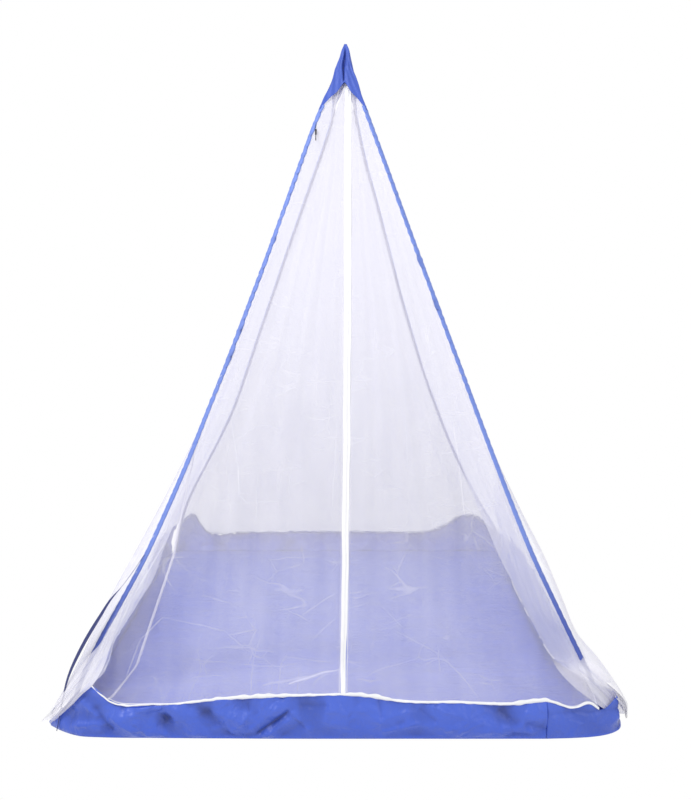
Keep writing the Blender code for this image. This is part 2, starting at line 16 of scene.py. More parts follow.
import bmesh
import bpy
import numpy as np
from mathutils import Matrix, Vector

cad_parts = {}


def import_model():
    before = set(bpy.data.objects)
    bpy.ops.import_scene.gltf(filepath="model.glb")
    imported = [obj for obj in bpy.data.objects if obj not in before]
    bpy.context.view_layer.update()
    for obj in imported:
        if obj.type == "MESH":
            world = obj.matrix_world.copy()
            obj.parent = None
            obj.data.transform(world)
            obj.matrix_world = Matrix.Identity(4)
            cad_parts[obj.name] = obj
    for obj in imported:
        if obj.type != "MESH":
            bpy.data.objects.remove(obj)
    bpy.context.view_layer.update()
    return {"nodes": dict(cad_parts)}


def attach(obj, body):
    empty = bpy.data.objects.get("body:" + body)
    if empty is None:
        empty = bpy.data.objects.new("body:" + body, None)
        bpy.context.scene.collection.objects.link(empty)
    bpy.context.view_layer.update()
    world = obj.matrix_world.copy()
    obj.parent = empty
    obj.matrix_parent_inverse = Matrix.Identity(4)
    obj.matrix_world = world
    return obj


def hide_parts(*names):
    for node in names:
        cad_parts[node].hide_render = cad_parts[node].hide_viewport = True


Triple = tuple[float, float, float]
Socket = bpy.types.NodeSocket
Sockets = bpy.types.bpy_prop_collection
Groups = dict[str, bpy.types.NodeTree]

LOG = logging.getLogger("mosquito_net")
BODY = "root"
GROUND = 0.0015  # top face of the ground sheet
WALL_LOWEST = GROUND * 0.4
NET_LOWEST = 0.003
CLEAR = 0.002  # between draped cloth and the edge it hangs over
CLOTH = 0.0009  # thickness of the blue nylon and of the zip's tape
PEAK = 2.558
SLEEVE_HALF_WIDTH = 0.0107
BACK_SLEEVE_HALF_WIDTH = 0.0058
SLEEVE_DEPTH = 0.0067
SLEEVE_TOP = 2.290
SLEEVE_FOOT = 0.035
NET_OFFSET = -0.0025  # the net's edge is sewn into the sleeve's edge
NET_TOP_OFFSET = 0.012
WALL_HEIGHT = 0.15
WALL_SEAM = 0.012
WALL_BULGE = 0.012
FALLEN_BULGE = 0.035
FALLEN_FROM = 0.4
ZIP_WIDTH = 0.027
ZIP_SEAM = ZIP_WIDTH / 2 - 0.003  # where the net is sewn on, from the zip's middle
ZIP_HEAD_X = 0.010
ZIP_FOOT_X = -0.0085
ZIP_DRIFT = 2.5
CAP_MIDDLE_EDGE = 2.400
CAP_STANDOFF = 0.0072
CAP_LEG_TOP = 2.330
NET_HEAD = CAP_MIDDLE_EDGE + 0.003  # the net's highest edge, tucked under the cap
HEM_PULL = 3.0
FALL_TURN = 0.3
FALL_BESIDE = 0.3
SWELL_REACH = 0.55


def records(kind: type, *rows: tuple) -> tuple:
    """One record of a kind for each row of values."""
    return tuple(kind(*row) for row in rows)


def column(rows: Sequence[NamedTuple], name: str) -> np.ndarray:
    """One measure, by its name, from each of these rows."""
    return np.array([getattr(row, name) for row in rows])


# ---------------------------------------------------------------- kinds of measure, and the measures


class Corner(Enum):
    """A corner of the net: the steps along X and Y that its pole takes as it leans out."""

    FRONT_LEFT = (-1.0, -0.915)
    FRONT_RIGHT = (1.0, -0.955)
    BACK_LEFT = (-1.0, 1.0)
    BACK_RIGHT = (1.0, 1.0)


class PoleRow(NamedTuple):
    """How far each pole stands out from the middle along X, at one height."""

    height: float
    front_left: float
    front_right: float
    back_left: float
    back_right: float


class Station(NamedTuple):
    """One upright cut across a wall: its foot, its top edge, and how far the net hangs over it."""

    foot_x: float
    foot_y: float
    top_x: float
    top_y: float
    top_z: float
    hang: float = 0.0


class Crease(NamedTuple):
    """A crease in a wall: its ends along the wall and in height, its width and how far it
    stands out, negative where it sinks in."""

    start: float
    start_height: float
    end: float
    end_height: float
    width: float
    depth: float


class Swell(NamedTuple):
    """How far the slack net beside a front corner swells out, at one height."""

    height: float
    left: float
    right: float


class Fall(NamedTuple):
    """One row of the net where it falls outside a wall: share of its drop, distance out, and
    where the row lies in net that doesn't fall."""

    down: float
    out: float
    straight: float


class Pleat(NamedTuple):
    """One point of a doubled fold in a net: its height, its place along the panel, its width."""

    height: float
    place: float
    width: float


class Pinch(NamedTuple):
    """A small sharp fold on a net: where it starts and ends along the panel and in height."""

    start: float
    start_height: float
    end: float
    end_height: float
    strength: float = 0.5
    width: float = 0.005


class SlackRow(NamedTuple):
    """One cut across the loose net at a front corner: its outer and its inner end."""

    outer: Triple
    inner: Triple


class Lap(NamedTuple):
    """How tall the front hem stands at one place along X."""

    x: float
    height: float


class Patch(NamedTuple):
    """A doubled patch on a sleeve: its height and its length."""

    height: float
    length: float


class CapRow(NamedTuple):
    """How far the cap stands out from the middle along X and along Y, at one height."""

    height: float
    reach: float


class CapEdge(NamedTuple):
    """The cap's lower edge along one of its sides: share of the way along, and height."""

    along: float
    height: float


class StrapRow(NamedTuple):
    """One cut across the corner strap: height, distance out from the pole, and width."""

    height: float
    out: float
    width: float


class Cut(NamedTuple):
    """A sheet as it was cut: its flat size, what holds it, and its area if it isn't a rectangle."""

    width: float
    length: float
    held: str
    rests_on: str
    area: float | None = None


POLE_ROWS = records(
    PoleRow,
    (0.002, 1.014, 0.956, 0.96, 0.912), (0.1, 0.992, 0.93, 0.944, 0.868), (0.2, 0.956, 0.89, 0.918, 0.815),
    (0.3, 0.908, 0.842, 0.882, 0.757), (0.42, 0.842, 0.785, 0.826, 0.689),
    (0.56, 0.767, 0.72, 0.75, 0.616), (0.72, 0.694, 0.655, 0.663, 0.541),
    (0.9, 0.617, 0.586, 0.573, 0.465), (1.1, 0.538, 0.512, 0.494, 0.387), (1.3, 0.46, 0.439, 0.42, 0.32),
    (1.5, 0.386, 0.366, 0.344, 0.257), (1.7, 0.312, 0.293, 0.269, 0.2), (1.9, 0.241, 0.221, 0.192, 0.144),
    (2.08, 0.178, 0.157, 0.122, 0.09), (2.24, 0.12, 0.099, 0.064, 0.052),
    (2.33, 0.082, 0.066, 0.042, 0.034), (2.44, 0.018, 0.018, 0.018, 0.018),
)
FRONT_WALL = records(
    Station,
    (-1.082, -0.914, -1.076, -0.912, 0.022), (-1.026, -0.955, -0.988, -0.948, 0.105),
    (-0.955, -0.988, -0.912, -0.962, 0.18), (-0.88, -0.996, -0.838, -0.985, 0.13),
    (-0.7, -1.0, -0.68, -0.988, 0.121), (-0.42, -1.004, -0.42, -0.988, 0.145),
    (-0.15, -1.006, -0.15, -0.988, 0.157), (0.07, -1.006, 0.07, -0.988, 0.156),
    (0.2, -1.006, 0.2, -0.988, 0.134), (0.4, -1.006, 0.4, -0.988, 0.13), (0.6, -1.006, 0.6, -0.988, 0.124),
    (0.717, -1.006, 0.717, -0.988, 0.136),
)
RIGHT_WALL = records(
    Station,
    (0.719, -1.006, 0.719, -0.988, 0.136), (0.825, -1.0, 0.825, -0.98, 0.106),
    (0.88, -0.994, 0.872, -0.974, 0.12), (0.925, -0.984, 0.912, -0.966, 0.094),
    (0.965, -0.967, 0.94, -0.958, 0.092), (1.0, -0.938, 0.978, -0.938, 0.122, 0.7),
    (1.018, -0.89, 0.994, -0.89, 0.112, 0.95), (1.02, -0.82, 0.978, -0.826, 0.1, 0.95),
    (1.017, -0.76, 0.945, -0.762, 0.092, 0.65), (1.014, -0.69, 0.91, -0.7, 0.085, 0.35),
    (1.009, -0.6, 0.882, -0.61, 0.07, 0.15), (1.006, -0.5, 0.863, -0.52, 0.058),
    (1.0, -0.2, 0.852, -0.2, 0.03), (1.0, 0.15, 0.851, 0.15, 0.022), (1.0, 0.45, 0.852, 0.45, 0.024),
    (0.998, 0.7, 0.862, 0.69, 0.056), (0.998, 0.87, 0.915, 0.866, 0.096),
    (0.985, 0.965, 0.925, 0.958, 0.096),
)
BACK_WALL = records(
    Station,
    (0.978, 0.99, 0.9, 0.983, 0.09), (0.86, 1.0, 0.81, 0.992, 0.153), (0.76, 1.0, 0.75, 0.99, 0.208),
    (0.65, 1.0, 0.64, 0.99, 0.206), (0.59, 1.0, 0.59, 0.99, 0.17), (0.48, 1.0, 0.48, 0.99, 0.124),
    (0.3, 1.0, 0.3, 0.99, 0.116), (0.0, 1.0, 0.0, 0.99, 0.118), (-0.3, 1.0, -0.3, 0.99, 0.115),
    (-0.6, 1.0, -0.6, 0.99, 0.117), (-0.8, 1.0, -0.79, 0.99, 0.124), (-0.9, 0.998, -0.868, 0.985, 0.228),
    (-0.975, 0.99, -0.935, 0.978, 0.17),
)
LEFT_WALL = records(
    Station,
    (-0.985, 0.978, -0.95, 0.966, 0.168), (-1.0, 0.86, -1.0, 0.85, 0.15),
    (-1.0, 0.64, -1.006, 0.64, 0.149), (-1.0, 0.43, -0.98, 0.43, 0.147), (-1.0, 0.13, -0.95, 0.13, 0.14),
    (-1.002, -0.12, -0.938, -0.12, 0.136), (-1.008, -0.33, -0.943, -0.33, 0.138),
    (-1.018, -0.5, -0.945, -0.49, 0.138), (-1.034, -0.68, -0.926, -0.68, 0.129),
    (-1.048, -0.79, -0.93, -0.775, 0.12, 0.15), (-1.058, -0.85, -0.985, -0.835, 0.095, 0.4),
    (-1.063, -0.895, -1.044, -0.886, 0.06, 0.7), (-1.084, -0.906, -1.079, -0.904, 0.022, 0.8),
)
FRONT_CREASES = records(
    Crease,
    (-0.198, 0.105, -0.323, 0.012, 0.009, -0.018), (-0.175, 0.09, -0.3, 0.0, 0.016, 0.012),
    (-0.235, 0.118, -0.35, 0.03, 0.014, 0.006), (-0.198, 0.105, -0.115, 0.022, 0.01, 0.009),
    (-0.215, 0.112, -0.14, 0.035, 0.008, -0.007), (-0.35, 0.135, -0.34, 0.08, 0.005, -0.006),
    (-0.29, 0.14, -0.312, 0.078, 0.007, 0.006), (-0.41, 0.138, -0.372, 0.05, 0.012, 0.005),
    (-0.85, 0.09, -0.736, 0.012, 0.022, 0.012), (-0.905, 0.12, -0.83, 0.02, 0.015, -0.01),
    (-0.96, 0.13, -0.88, 0.075, 0.014, 0.01), (-0.975, 0.045, -0.85, 0.052, 0.018, 0.008),
    (-0.699, 0.118, -0.627, 0.062, 0.014, -0.01), (-0.627, 0.062, -0.519, 0.088, 0.018, 0.01),
    (-0.78, 0.045, -0.62, 0.014, 0.014, 0.007), (-0.56, 0.11, -0.45, 0.03, 0.014, 0.006),
    (-0.5, 0.05, -0.3, 0.055, 0.016, -0.005), (-0.09, 0.07, 0.06, 0.04, 0.016, 0.006),
    (-0.02, 0.14, 0.02, 0.08, 0.01, -0.005), (0.04, 0.12, 0.18, 0.03, 0.016, 0.008),
    (0.115, 0.145, 0.135, 0.07, 0.007, -0.007), (0.19, 0.06, 0.42, 0.04, 0.018, 0.007),
    (0.26, 0.115, 0.33, 0.06, 0.012, -0.006), (0.33, 0.11, 0.52, 0.05, 0.012, 0.006),
    (0.44, 0.03, 0.7, 0.03, 0.014, 0.008), (0.54, 0.11, 0.62, 0.05, 0.012, -0.006),
    (0.64, 0.1, 0.712, 0.07, 0.012, 0.006),
)
RIGHT_CREASES = records(
    Crease,
    (-0.96, 0.06, -0.9, 0.02, 0.01, 0.005), (-0.7, 0.05, -0.6, 0.02, 0.015, 0.005),
    (-0.3, 0.02, -0.05, 0.025, 0.018, 0.005),
)
LEFT_CREASES = records(
    Crease,
    (0.5, 0.1, 0.35, 0.03, 0.012, 0.006), (0.05, 0.11, -0.1, 0.04, 0.012, -0.005),
    (-0.4, 0.09, -0.6, 0.05, 0.014, 0.006),
)
BACK_CREASES = records(
    Crease,
    (0.3, 0.1, 0.2, 0.03, 0.012, 0.005), (-0.25, 0.09, -0.4, 0.03, 0.012, -0.005),
    (-0.6, 0.1, -0.7, 0.04, 0.014, 0.005),
)
SWELLS = records(
    Swell,
    (0.2, 0.056, 0.06), (0.3, 0.062, 0.018), (0.42, 0.066, 0.026), (0.56, 0.058, 0.038),
    (0.72, 0.042, 0.022), (1.1, 0.0, 0.0),
)
FALLS = records(
    Fall,
    (0.0, 0.03, 0.5), (0.5, 0.032, 0.8), (1.0, 0.022, 0.93), (0.5, 0.022, 0.97),
)
FRONT_PINCHES = records(
    Pinch,
    (-0.162, 0.378, -0.032, 0.453, 0.22, 0.0026), (-0.12, 0.3, -0.03, 0.372, 0.17, 0.0022),
    (-0.205, 0.172, -0.022, 0.2, 0.4, 0.0035), (-0.3, 0.166, -0.11, 0.188, 0.17, 0.0025),
    (-0.23, 0.24, -0.04, 0.215, 0.15, 0.0022), (-0.68, 0.372, -0.45, 0.326, 0.24, 0.0026),
    (-0.45, 0.326, -0.356, 0.256, 0.19, 0.0024), (-0.536, 0.441, -0.424, 0.414, 0.21, 0.0024),
    (-0.6, 0.52, -0.48, 0.47, 0.14, 0.0022), (-0.69, 0.62, -0.8, 0.433, 0.4, 0.004),
    (-0.8, 0.433, -0.872, 0.277, 0.4, 0.004), (-0.681, 0.372, -0.761, 0.298, 0.45, 0.0035),
    (-0.761, 0.298, -0.808, 0.172, 0.4, 0.0035), (0.184, 0.326, 0.35, 0.246, 0.17, 0.0025),
    (0.35, 0.246, 0.482, 0.135, 0.17, 0.0025), (0.06, 0.18, 0.26, 0.23, 0.15, 0.0022),
    (0.12, 0.42, 0.22, 0.33, 0.14, 0.0022), (-0.447, 1.065, -0.416, 0.892, 0.32, 0.0026),
    (-0.416, 0.892, -0.41, 0.791, 0.36, 0.0028), (-0.41, 0.791, -0.378, 0.759, 0.3, 0.0026),
    (0.234, 1.064, 0.241, 0.902, 0.22, 0.0024), (0.419, 1.065, 0.438, 0.914, 0.36, 0.0028),
    (0.438, 0.914, 0.457, 0.715, 0.36, 0.0028), (0.49, 0.645, 0.504, 0.596, 0.22, 0.0024),
    (-0.033, 1.064, -0.055, 0.68, 0.22, 0.0026),
)
BACK_PINCHES = records(
    Pinch,
    (0.303, 0.858, 0.325, 0.599, 0.3, 0.004), (-0.3, 1.3, -0.42, 0.9, 0.15, 0.004),
    (0.12, 1.45, 0.18, 1.05, 0.15, 0.004),
)
FRONT_PLEAT = records(
    Pleat,
    (0.93, -0.59, 0.003), (0.78, -0.62, 0.006), (0.6, -0.651, 0.009),
    (0.44, -0.703, 0.01), (0.24, -0.769, 0.009), (0.13, -0.86, 0.008),
)
LEFT_SLACK = records(
    SlackRow,
    ((-0.836, -0.78, 0.428), (-0.818, -0.784, 0.428)), ((-0.876, -0.818, 0.35), (-0.84, -0.835, 0.352)),
    ((-0.905, -0.846, 0.292), (-0.86, -0.875, 0.29)), ((-0.948, -0.878, 0.248), (-0.872, -0.916, 0.244)),
    ((-0.985, -0.904, 0.204), (-0.888, -0.946, 0.212)), ((-1.014, -0.922, 0.16), (-0.904, -0.964, 0.188)),
    ((-1.032, -0.93, 0.126), (-0.944, -0.968, 0.152)), ((-1.052, -0.936, 0.088), (-0.985, -0.964, 0.108)),
    ((-1.072, -0.934, 0.046), (-1.036, -0.946, 0.056)), ((-1.083, -0.922, 0.014), (-1.068, -0.926, 0.02)),
)
RIGHT_SLACK = records(
    SlackRow,
    ((0.861, -0.8, 0.25), (0.76, -0.8, 0.234)), ((0.885, -0.84, 0.23), (0.786, -0.86, 0.192)),
    ((0.937, -0.87, 0.205), (0.829, -0.9, 0.153)), ((0.979, -0.89, 0.152), (0.882, -0.93, 0.117)),
    ((1.012, -0.9, 0.094), (0.923, -0.945, 0.09)), ((1.029, -0.9, 0.038), (0.96, -0.945, 0.067)),
)
# where the folds beside a corner end: height, and distance from the panel's edge
RIGHT_FOLD = ((0.05, 1.6), (0.16, 1.25), (0.30, 0.95), (0.45, 0.70), (0.62, 0.42), (0.80, 0.16), (0.95, 0.0))
LEFT_FOLD = ((0.12, 2.0), (0.20, 0.90), (0.35, 0.45), (0.50, 0.24), (0.75, 0.10), (1.00, 0.0))
HEM_LAPS = records(
    Lap,
    (-0.910, 0.003), (-0.840, 0.004), (-0.600, 0.004), (-0.460, 0.007), (-0.300, 0.010), (-0.170, 0.006),
    (-0.030, 0.004), (0.020, 0.008), (0.120, 0.010), (0.190, 0.004), (0.400, 0.005), (0.560, 0.006),
    (0.650, 0.011), (0.720, 0.008), (0.800, 0.004), (0.930, 0.008),
)
SLEEVE_PATCHES = {
    Corner.FRONT_LEFT: records(Patch, (1.405, 0.05), (1.305, 0.06), (1.76, 0.03)),
    Corner.FRONT_RIGHT: records(Patch, (1.673, 0.04), (1.50, 0.05)),
}
CAP_ROWS = records(
    CapRow,
    (2.466, 0.0265), (2.502, 0.0185), (2.535, 0.0135), (2.558, 0.005),
)
CAP_EDGES = records(
    CapEdge,
    (0.0, 2.284), (0.05, 2.298), (0.13, 2.328), (0.27, 2.354), (0.5, 2.398), (0.73, 2.354), (0.87, 2.328),
    (0.95, 2.298), (1.0, 2.284),
)
STRAP_ROWS = records(
    StrapRow,
    (0.004, 0.046, 0.004), (0.1, 0.05, 0.006), (0.197, 0.066, 0.014), (0.29, 0.07, 0.02),
    (0.388, 0.064, 0.018), (0.445, 0.056, 0.01), (0.475, 0.04, 0.0016), (0.58, 0.0083, 0.0016),
)


# ---------------------------------------------------------------- lines, surfaces and meshes


def spline(knots: Sequence[float], values: np.ndarray, at: np.ndarray) -> np.ndarray:
    """Reads a smooth curve that passes through the given values.

    Args:
        knots: Where each value lies, in rising order.
        values: One number or point for each knot.
        at: Where to read the curve; outside the knots it keeps its end values.

    Returns:
        One value for each entry of at.
    """
    knots, values = np.asarray(knots, float), np.asarray(values, float)
    at = np.clip(np.asarray(at, float), knots[0], knots[-1])
    tall = (-1,) + (1,) * (values.ndim - 1)
    steps = np.diff(knots).reshape(tall)
    slopes = np.diff(values, axis=0) / steps
    tangents = np.empty_like(values)
    tangents[0], tangents[-1] = slopes[0], slopes[-1]
    tangents[1:-1] = (slopes[:-1] * steps[1:] + slopes[1:] * steps[:-1]) / (steps[1:] + steps[:-1])
    span = np.clip(np.searchsorted(knots, at, side="right") - 1, 0, len(knots) - 2)
    width = (knots[span + 1] - knots[span]).reshape(tall)
    t = (at - knots[span]).reshape(tall) / width
    start = values[span] * (1 + 2 * t) * (1 - t) ** 2 + tangents[span] * width * t * (1 - t) ** 2
    end = values[span + 1] * t * t * (3 - 2 * t) + tangents[span + 1] * width * t * t * (t - 1)
    return start + end


def even(count: int) -> np.ndarray:
    """This many shares from 0 to 1, evenly spaced."""
    return np.linspace(0, 1, count)


FINE = even(400)  # shares for the lines that other pieces follow


def arc(points: np.ndarray) -> np.ndarray:
    """How far along a line of points each one lies, in metres."""
    return np.concatenate([[0.0], np.cumsum(np.linalg.norm(np.diff(points, axis=0), axis=1))])


def along(points: np.ndarray, shares: np.ndarray) -> np.ndarray:
    """Points on the smooth curve through a line of points, at these shares of its length."""
    lengths = arc(points)
    return spline(lengths / lengths[-1], points, shares)


def smooth_step(values: np.ndarray) -> np.ndarray:
    """Eases from 0 to 1 as the values go from 0 to 1."""
    held = np.clip(values, 0, 1)
    return held * held * (3 - 2 * held)


def hump(values: np.ndarray, width: float, centre: float = 0.0) -> np.ndarray:
    """1 at the centre, and soon 0 beyond this width to either side of it."""
    return np.exp(-(((values - centre) / width) ** 2))


def ripple(along_it: np.ndarray, waves: Sequence[Triple]) -> np.ndarray:
    """A sum of sine waves, each given as height, length and phase."""
    total = np.zeros_like(np.asarray(along_it, float))
    for height, length, phase in waves:
        total += height * np.sin(math.tau * (along_it / length + phase))
    return total


def outward_normals(places: np.ndarray) -> np.ndarray:
    """The unit normals of a surface of rows and columns, turned away from the tent's middle."""
    normal = np.cross(np.gradient(places, axis=1), np.gradient(places, axis=0))
    normal = normal / np.maximum(np.linalg.norm(normal, axis=2, keepdims=True), 1e-9)
    return normal if (normal * (places * (1, 1, 0))).sum() > 0 else -normal


def put_in_scene(name: str, data: bpy.types.ID) -> bpy.types.Object:
    """A new object in the scene, made of this data."""
    piece = bpy.data.objects.new(name, data)
    bpy.context.scene.collection.objects.link(piece)
    return piece


def store(mesh: bmesh.types.BMesh, data: bpy.types.Mesh, smooth: bool = True) -> bpy.types.Mesh:
    """Keeps an edited mesh in this data, and frees it."""
    mesh.to_mesh(data)
    mesh.free()
    if smooth:
        data.shade_smooth()
    return data


def cloth_piece(
    name: str,
    places: np.ndarray,
    chart: tuple[np.ndarray, np.ndarray],
    masks: dict[str, np.ndarray | float] | None = None,
    thickness: float = 0.0,
    tube: bool = False,
) -> bpy.types.Object:
    """Makes a piece of cloth from a grid, each corner of which is put in its place.

    Args:
        name: The piece's name.
        places: Rows and columns of points, in metres.
        chart: A flat position in metres for each point, for the weave and the seams.
        masks: Named values from 0 to 1 for the points.
        thickness: The cloth's thickness, half of it to each side.
        tube: Whether the last column meets the first one.

    Returns:
        The new object, smooth and with its faces pointing outwards.
    """
    rows, columns = places.shape[:2]
    mesh = bmesh.new()
    bmesh.ops.create_grid(mesh, x_segments=columns - 1, y_segments=rows - 1, size=0.5)
    data = store(mesh, bpy.data.meshes.new(name))
    flat = np.empty(3 * len(data.vertices), np.float32)
    data.vertices.foreach_get("co", flat)
    flat = flat.reshape(-1, 3)
    column = np.rint((flat[:, 0] + 0.5) * (columns - 1)).astype(int)
    row = np.rint((flat[:, 1] + 0.5) * (rows - 1)).astype(int)
    data.vertices.foreach_set("co", places[row, column].astype(np.float32).ravel())
    corners = np.empty(len(data.loops), np.int32)
    data.loops.foreach_get("vertex_index", corners)
    pattern = np.stack([np.broadcast_to(part, (rows, columns)) for part in chart], axis=2)
    layer = data.uv_layers.new(name="weave")
    layer.data.foreach_set("uv", pattern[row, column][corners].astype(np.float32).ravel())
    for label, values in (masks or {}).items():
        mask = data.attributes.new(label, "FLOAT", "POINT")
        values = np.broadcast_to(values, (rows, columns))
        mask.data.foreach_set("value", values[row, column].astype(np.float32))
    mesh = bmesh.new()
    mesh.from_mesh(data)
    bmesh.ops.remove_doubles(mesh, verts=mesh.verts, dist=1e-6)
    if tube:
        bmesh.ops.recalc_face_normals(mesh, faces=mesh.faces)
    else:
        middle = Vector(places.mean(axis=(0, 1)))
        away = Vector((middle.x, middle.y, 0)) if middle.xy.length > 0.1 else Vector((0, 0, 1))
        if sum((face.normal * face.calc_area() for face in mesh.faces), Vector()).dot(away) < 0:
            bmesh.ops.reverse_faces(mesh, faces=mesh.faces)
    piece = put_in_scene(name, store(mesh, data))
    if thickness:
        solidify = piece.modifiers.new("Thickness", "SOLIDIFY")
        solidify.thickness = thickness
        solidify.offset = 0
    return piece


def fit_piece(piece: bpy.types.Object, slot: str, finish: bpy.types.Material, *nodes: str) -> None:
    """Fixes a finished piece to the net.

    Args:
        piece: The piece.
        slot: Its material slot; not used.
        finish: Its material.
        *nodes: The solids it stands for.
    """
    piece.data.materials.clear()
    piece.data.materials.append(finish)
    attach(piece, BODY)
    if nodes:
        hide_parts(*nodes)
    LOG.info("%s: %d faces", piece.name, len(piece.data.polygons))


# ---------------------------------------------------------------- finishes


class Wiring:
    """Adds and links the nodes of one material, world or node group."""

    def __init__(self, tree: bpy.types.NodeTree) -> None:
        """Starts on an empty tree."""
        self.tree = tree
        tree.nodes.clear()

    def put(self, source: object, target: Socket) -> None:
        """Links a socket, or sets a plain value."""
        if isinstance(source, Socket):
            self.tree.links.new(source, target)
        else:
            target.default_value = source

    def add(self, kind: str, feeds: dict[str, object] | None = None, **settings: object) -> bpy.types.Node:
        """Adds a node.

        Args:
            kind: The kind of shader node.
            feeds: A socket or a plain value for each input, by the input's name.
            **settings: The node's own properties.

        Returns:
            The node.
        """
        node = self.tree.nodes.new(f"ShaderNode{kind}")
        for name, value in settings.items():
            setattr(node, name, value)
        for name, value in (feeds or {}).items():
            self.put(value, node.inputs[name])
        return node

    def feed(self, node: bpy.types.Node, values: Sequence[object]) -> Sockets:
        """Puts these values at a node's inputs, in order, and gives its outputs."""
        for value, socket in zip(values, node.inputs):
            self.put(value, socket)
        return node.outputs

    def group(self, group: bpy.types.NodeTree, *values: object) -> Sockets:
        """The outputs of a node group on these values, in the order of its inputs."""
        return self.feed(self.add("Group", node_tree=group), values)

    def maths(self, operation: str, *values: object, clamp: bool = False) -> Socket:
        """The result of a Math node on these sockets or numbers."""
        return self.feed(self.add("Math", operation=operation, use_clamp=clamp), values)[0]

    def vectors(self, operation: str, *values: object, scale: object = 1.0) -> Socket:
        """The result of a Vector Math node on these sockets or vectors."""
        node = self.add("VectorMath", operation=operation)
        if operation == "SCALE":
            self.put(scale, node.inputs["Scale"])
        return self.feed(node, values)["Value" if operation in ("DOT_PRODUCT", "DISTANCE") else "Vector"]

    def split(self, place: object) -> Sockets:
        """A place's X, Y and Z."""
        return self.add("SeparateXYZ", {"Vector": place}).outputs

    def blend(self, share: object, first: object, second: object) -> Socket:
        """A colour this share of the way from first to second."""
        node = self.add("Mix", data_type="RGBA")
        for value, index in ((share, 0), (first, 6), (second, 7)):
            self.put((*value, 1) if isinstance(value, tuple) else value, node.inputs[index])
        return node.outputs[2]

    def noise(self, place: object, scale: float, detail: float, stretch: Triple | None = None) -> Socket:
        """A Noise Texture's value, drawn out along an axis where a stretch is given."""
        if stretch:
            place = self.vectors("MULTIPLY", place, stretch)
        return self.add("TexNoise", {"Vector": place, "Scale": scale, "Detail": detail}).outputs["Fac"]

    def ramp(self, value: object, low: object, high: object, kind: str = "LINEAR", **ends: float) -> Socket:
        """Goes from 0 to 1, or between the ends given, as the value goes from low to high."""
        feeds = {"Value": value, "From Min": low, "From Max": high}
        feeds |= {name.replace("_", " "): end for name, end in ends.items()}
        return self.add("MapRange", feeds, interpolation_type=kind).outputs[0]

    def mask(self, label: str) -> Socket:
        """One of the masks that the cloth carries."""
        return self.add("Attribute", attribute_name=label).outputs["Fac"]

    def crest(self, gap: object, width: object) -> Socket:
        """1 where the gap is nothing, falling to 0 where it reaches this width."""
        return self.maths("SUBTRACT", 1.0, self.maths("DIVIDE", gap, width), clamp=True)

    def curves(self, noise: Socket, width: float) -> Socket:
        """Thin lines where a noise passes through its middle value."""
        return self.crest(self.maths("ABSOLUTE", self.maths("SUBTRACT", noise, 0.5)), width)

    def dress(self, height: object, strength: float, distance: float, feeds: dict[str, object]) -> None:
        """Ends a material: a bump from this height, and a shader with these values."""
        bump = self.add("Bump", {"Strength": strength, "Distance": distance, "Height": height})
        shader = self.add("BsdfPrincipled", {"Normal": bump.outputs[0], **feeds})
        self.add("OutputMaterial", {"Surface": shader.outputs[0]})


def new_group(name: str, inputs: dict[str, str], outputs: Sequence[str]) -> tuple[Wiring, Sockets, Sockets]:
    """An empty shader node group with these sockets.

    Args:
        name: The group's name.
        inputs: Each input's name and kind of socket.
        outputs: Each output's name. Each gives a number.

    Returns:
        The wiring, the sockets that give the group's inputs and those that take its outputs.
    """
    tree = bpy.data.node_groups.new(name, "ShaderNodeTree")
    for label, kind in inputs.items():
        tree.interface.new_socket(label, in_out="INPUT", socket_type=f"NodeSocket{kind}")
    for label in outputs:
        tree.interface.new_socket(label, in_out="OUTPUT", socket_type="NodeSocketFloat")
    wiring = Wiring(tree)
    return wiring, tree.nodes.new("NodeGroupInput").outputs, tree.nodes.new("NodeGroupOutput").inputs


def make_mesh_group() -> bpy.types.NodeTree:
    """The knitted net: threads that cross, thicker where they meet, round small holes."""
    wiring, given, result = new_group(
        "Knitted mesh", {"Place": "Vector", "Pitch": "Float", "Thread": "Float"}, ("Cover", "Height")
    )
    pitches = wiring.maths("DIVIDE", 1.0, given["Pitch"])
    at = wiring.split(wiring.vectors("SCALE", given["Place"], scale=pitches))
    staggered = wiring.maths("MULTIPLY_ADD", wiring.maths("FLOOR", at["Y"]), 0.5, at["X"])
    sides = (wiring.maths("PINGPONG", staggered, 0.5), wiring.maths("PINGPONG", at["Y"], 0.5))
    nearest = wiring.maths("SMOOTH_MIN", *sides, 0.12)
    thin, thick = (wiring.maths("MULTIPLY", given["Thread"], part) for part in (0.7, 1.3))
    wiring.put(wiring.ramp(nearest, thin, thick, "SMOOTHSTEP", To_Min=1.0, To_Max=0.0), result["Cover"])
    wiring.put(wiring.maths("SUBTRACT", 0.5, nearest), result["Height"])
    return wiring.tree


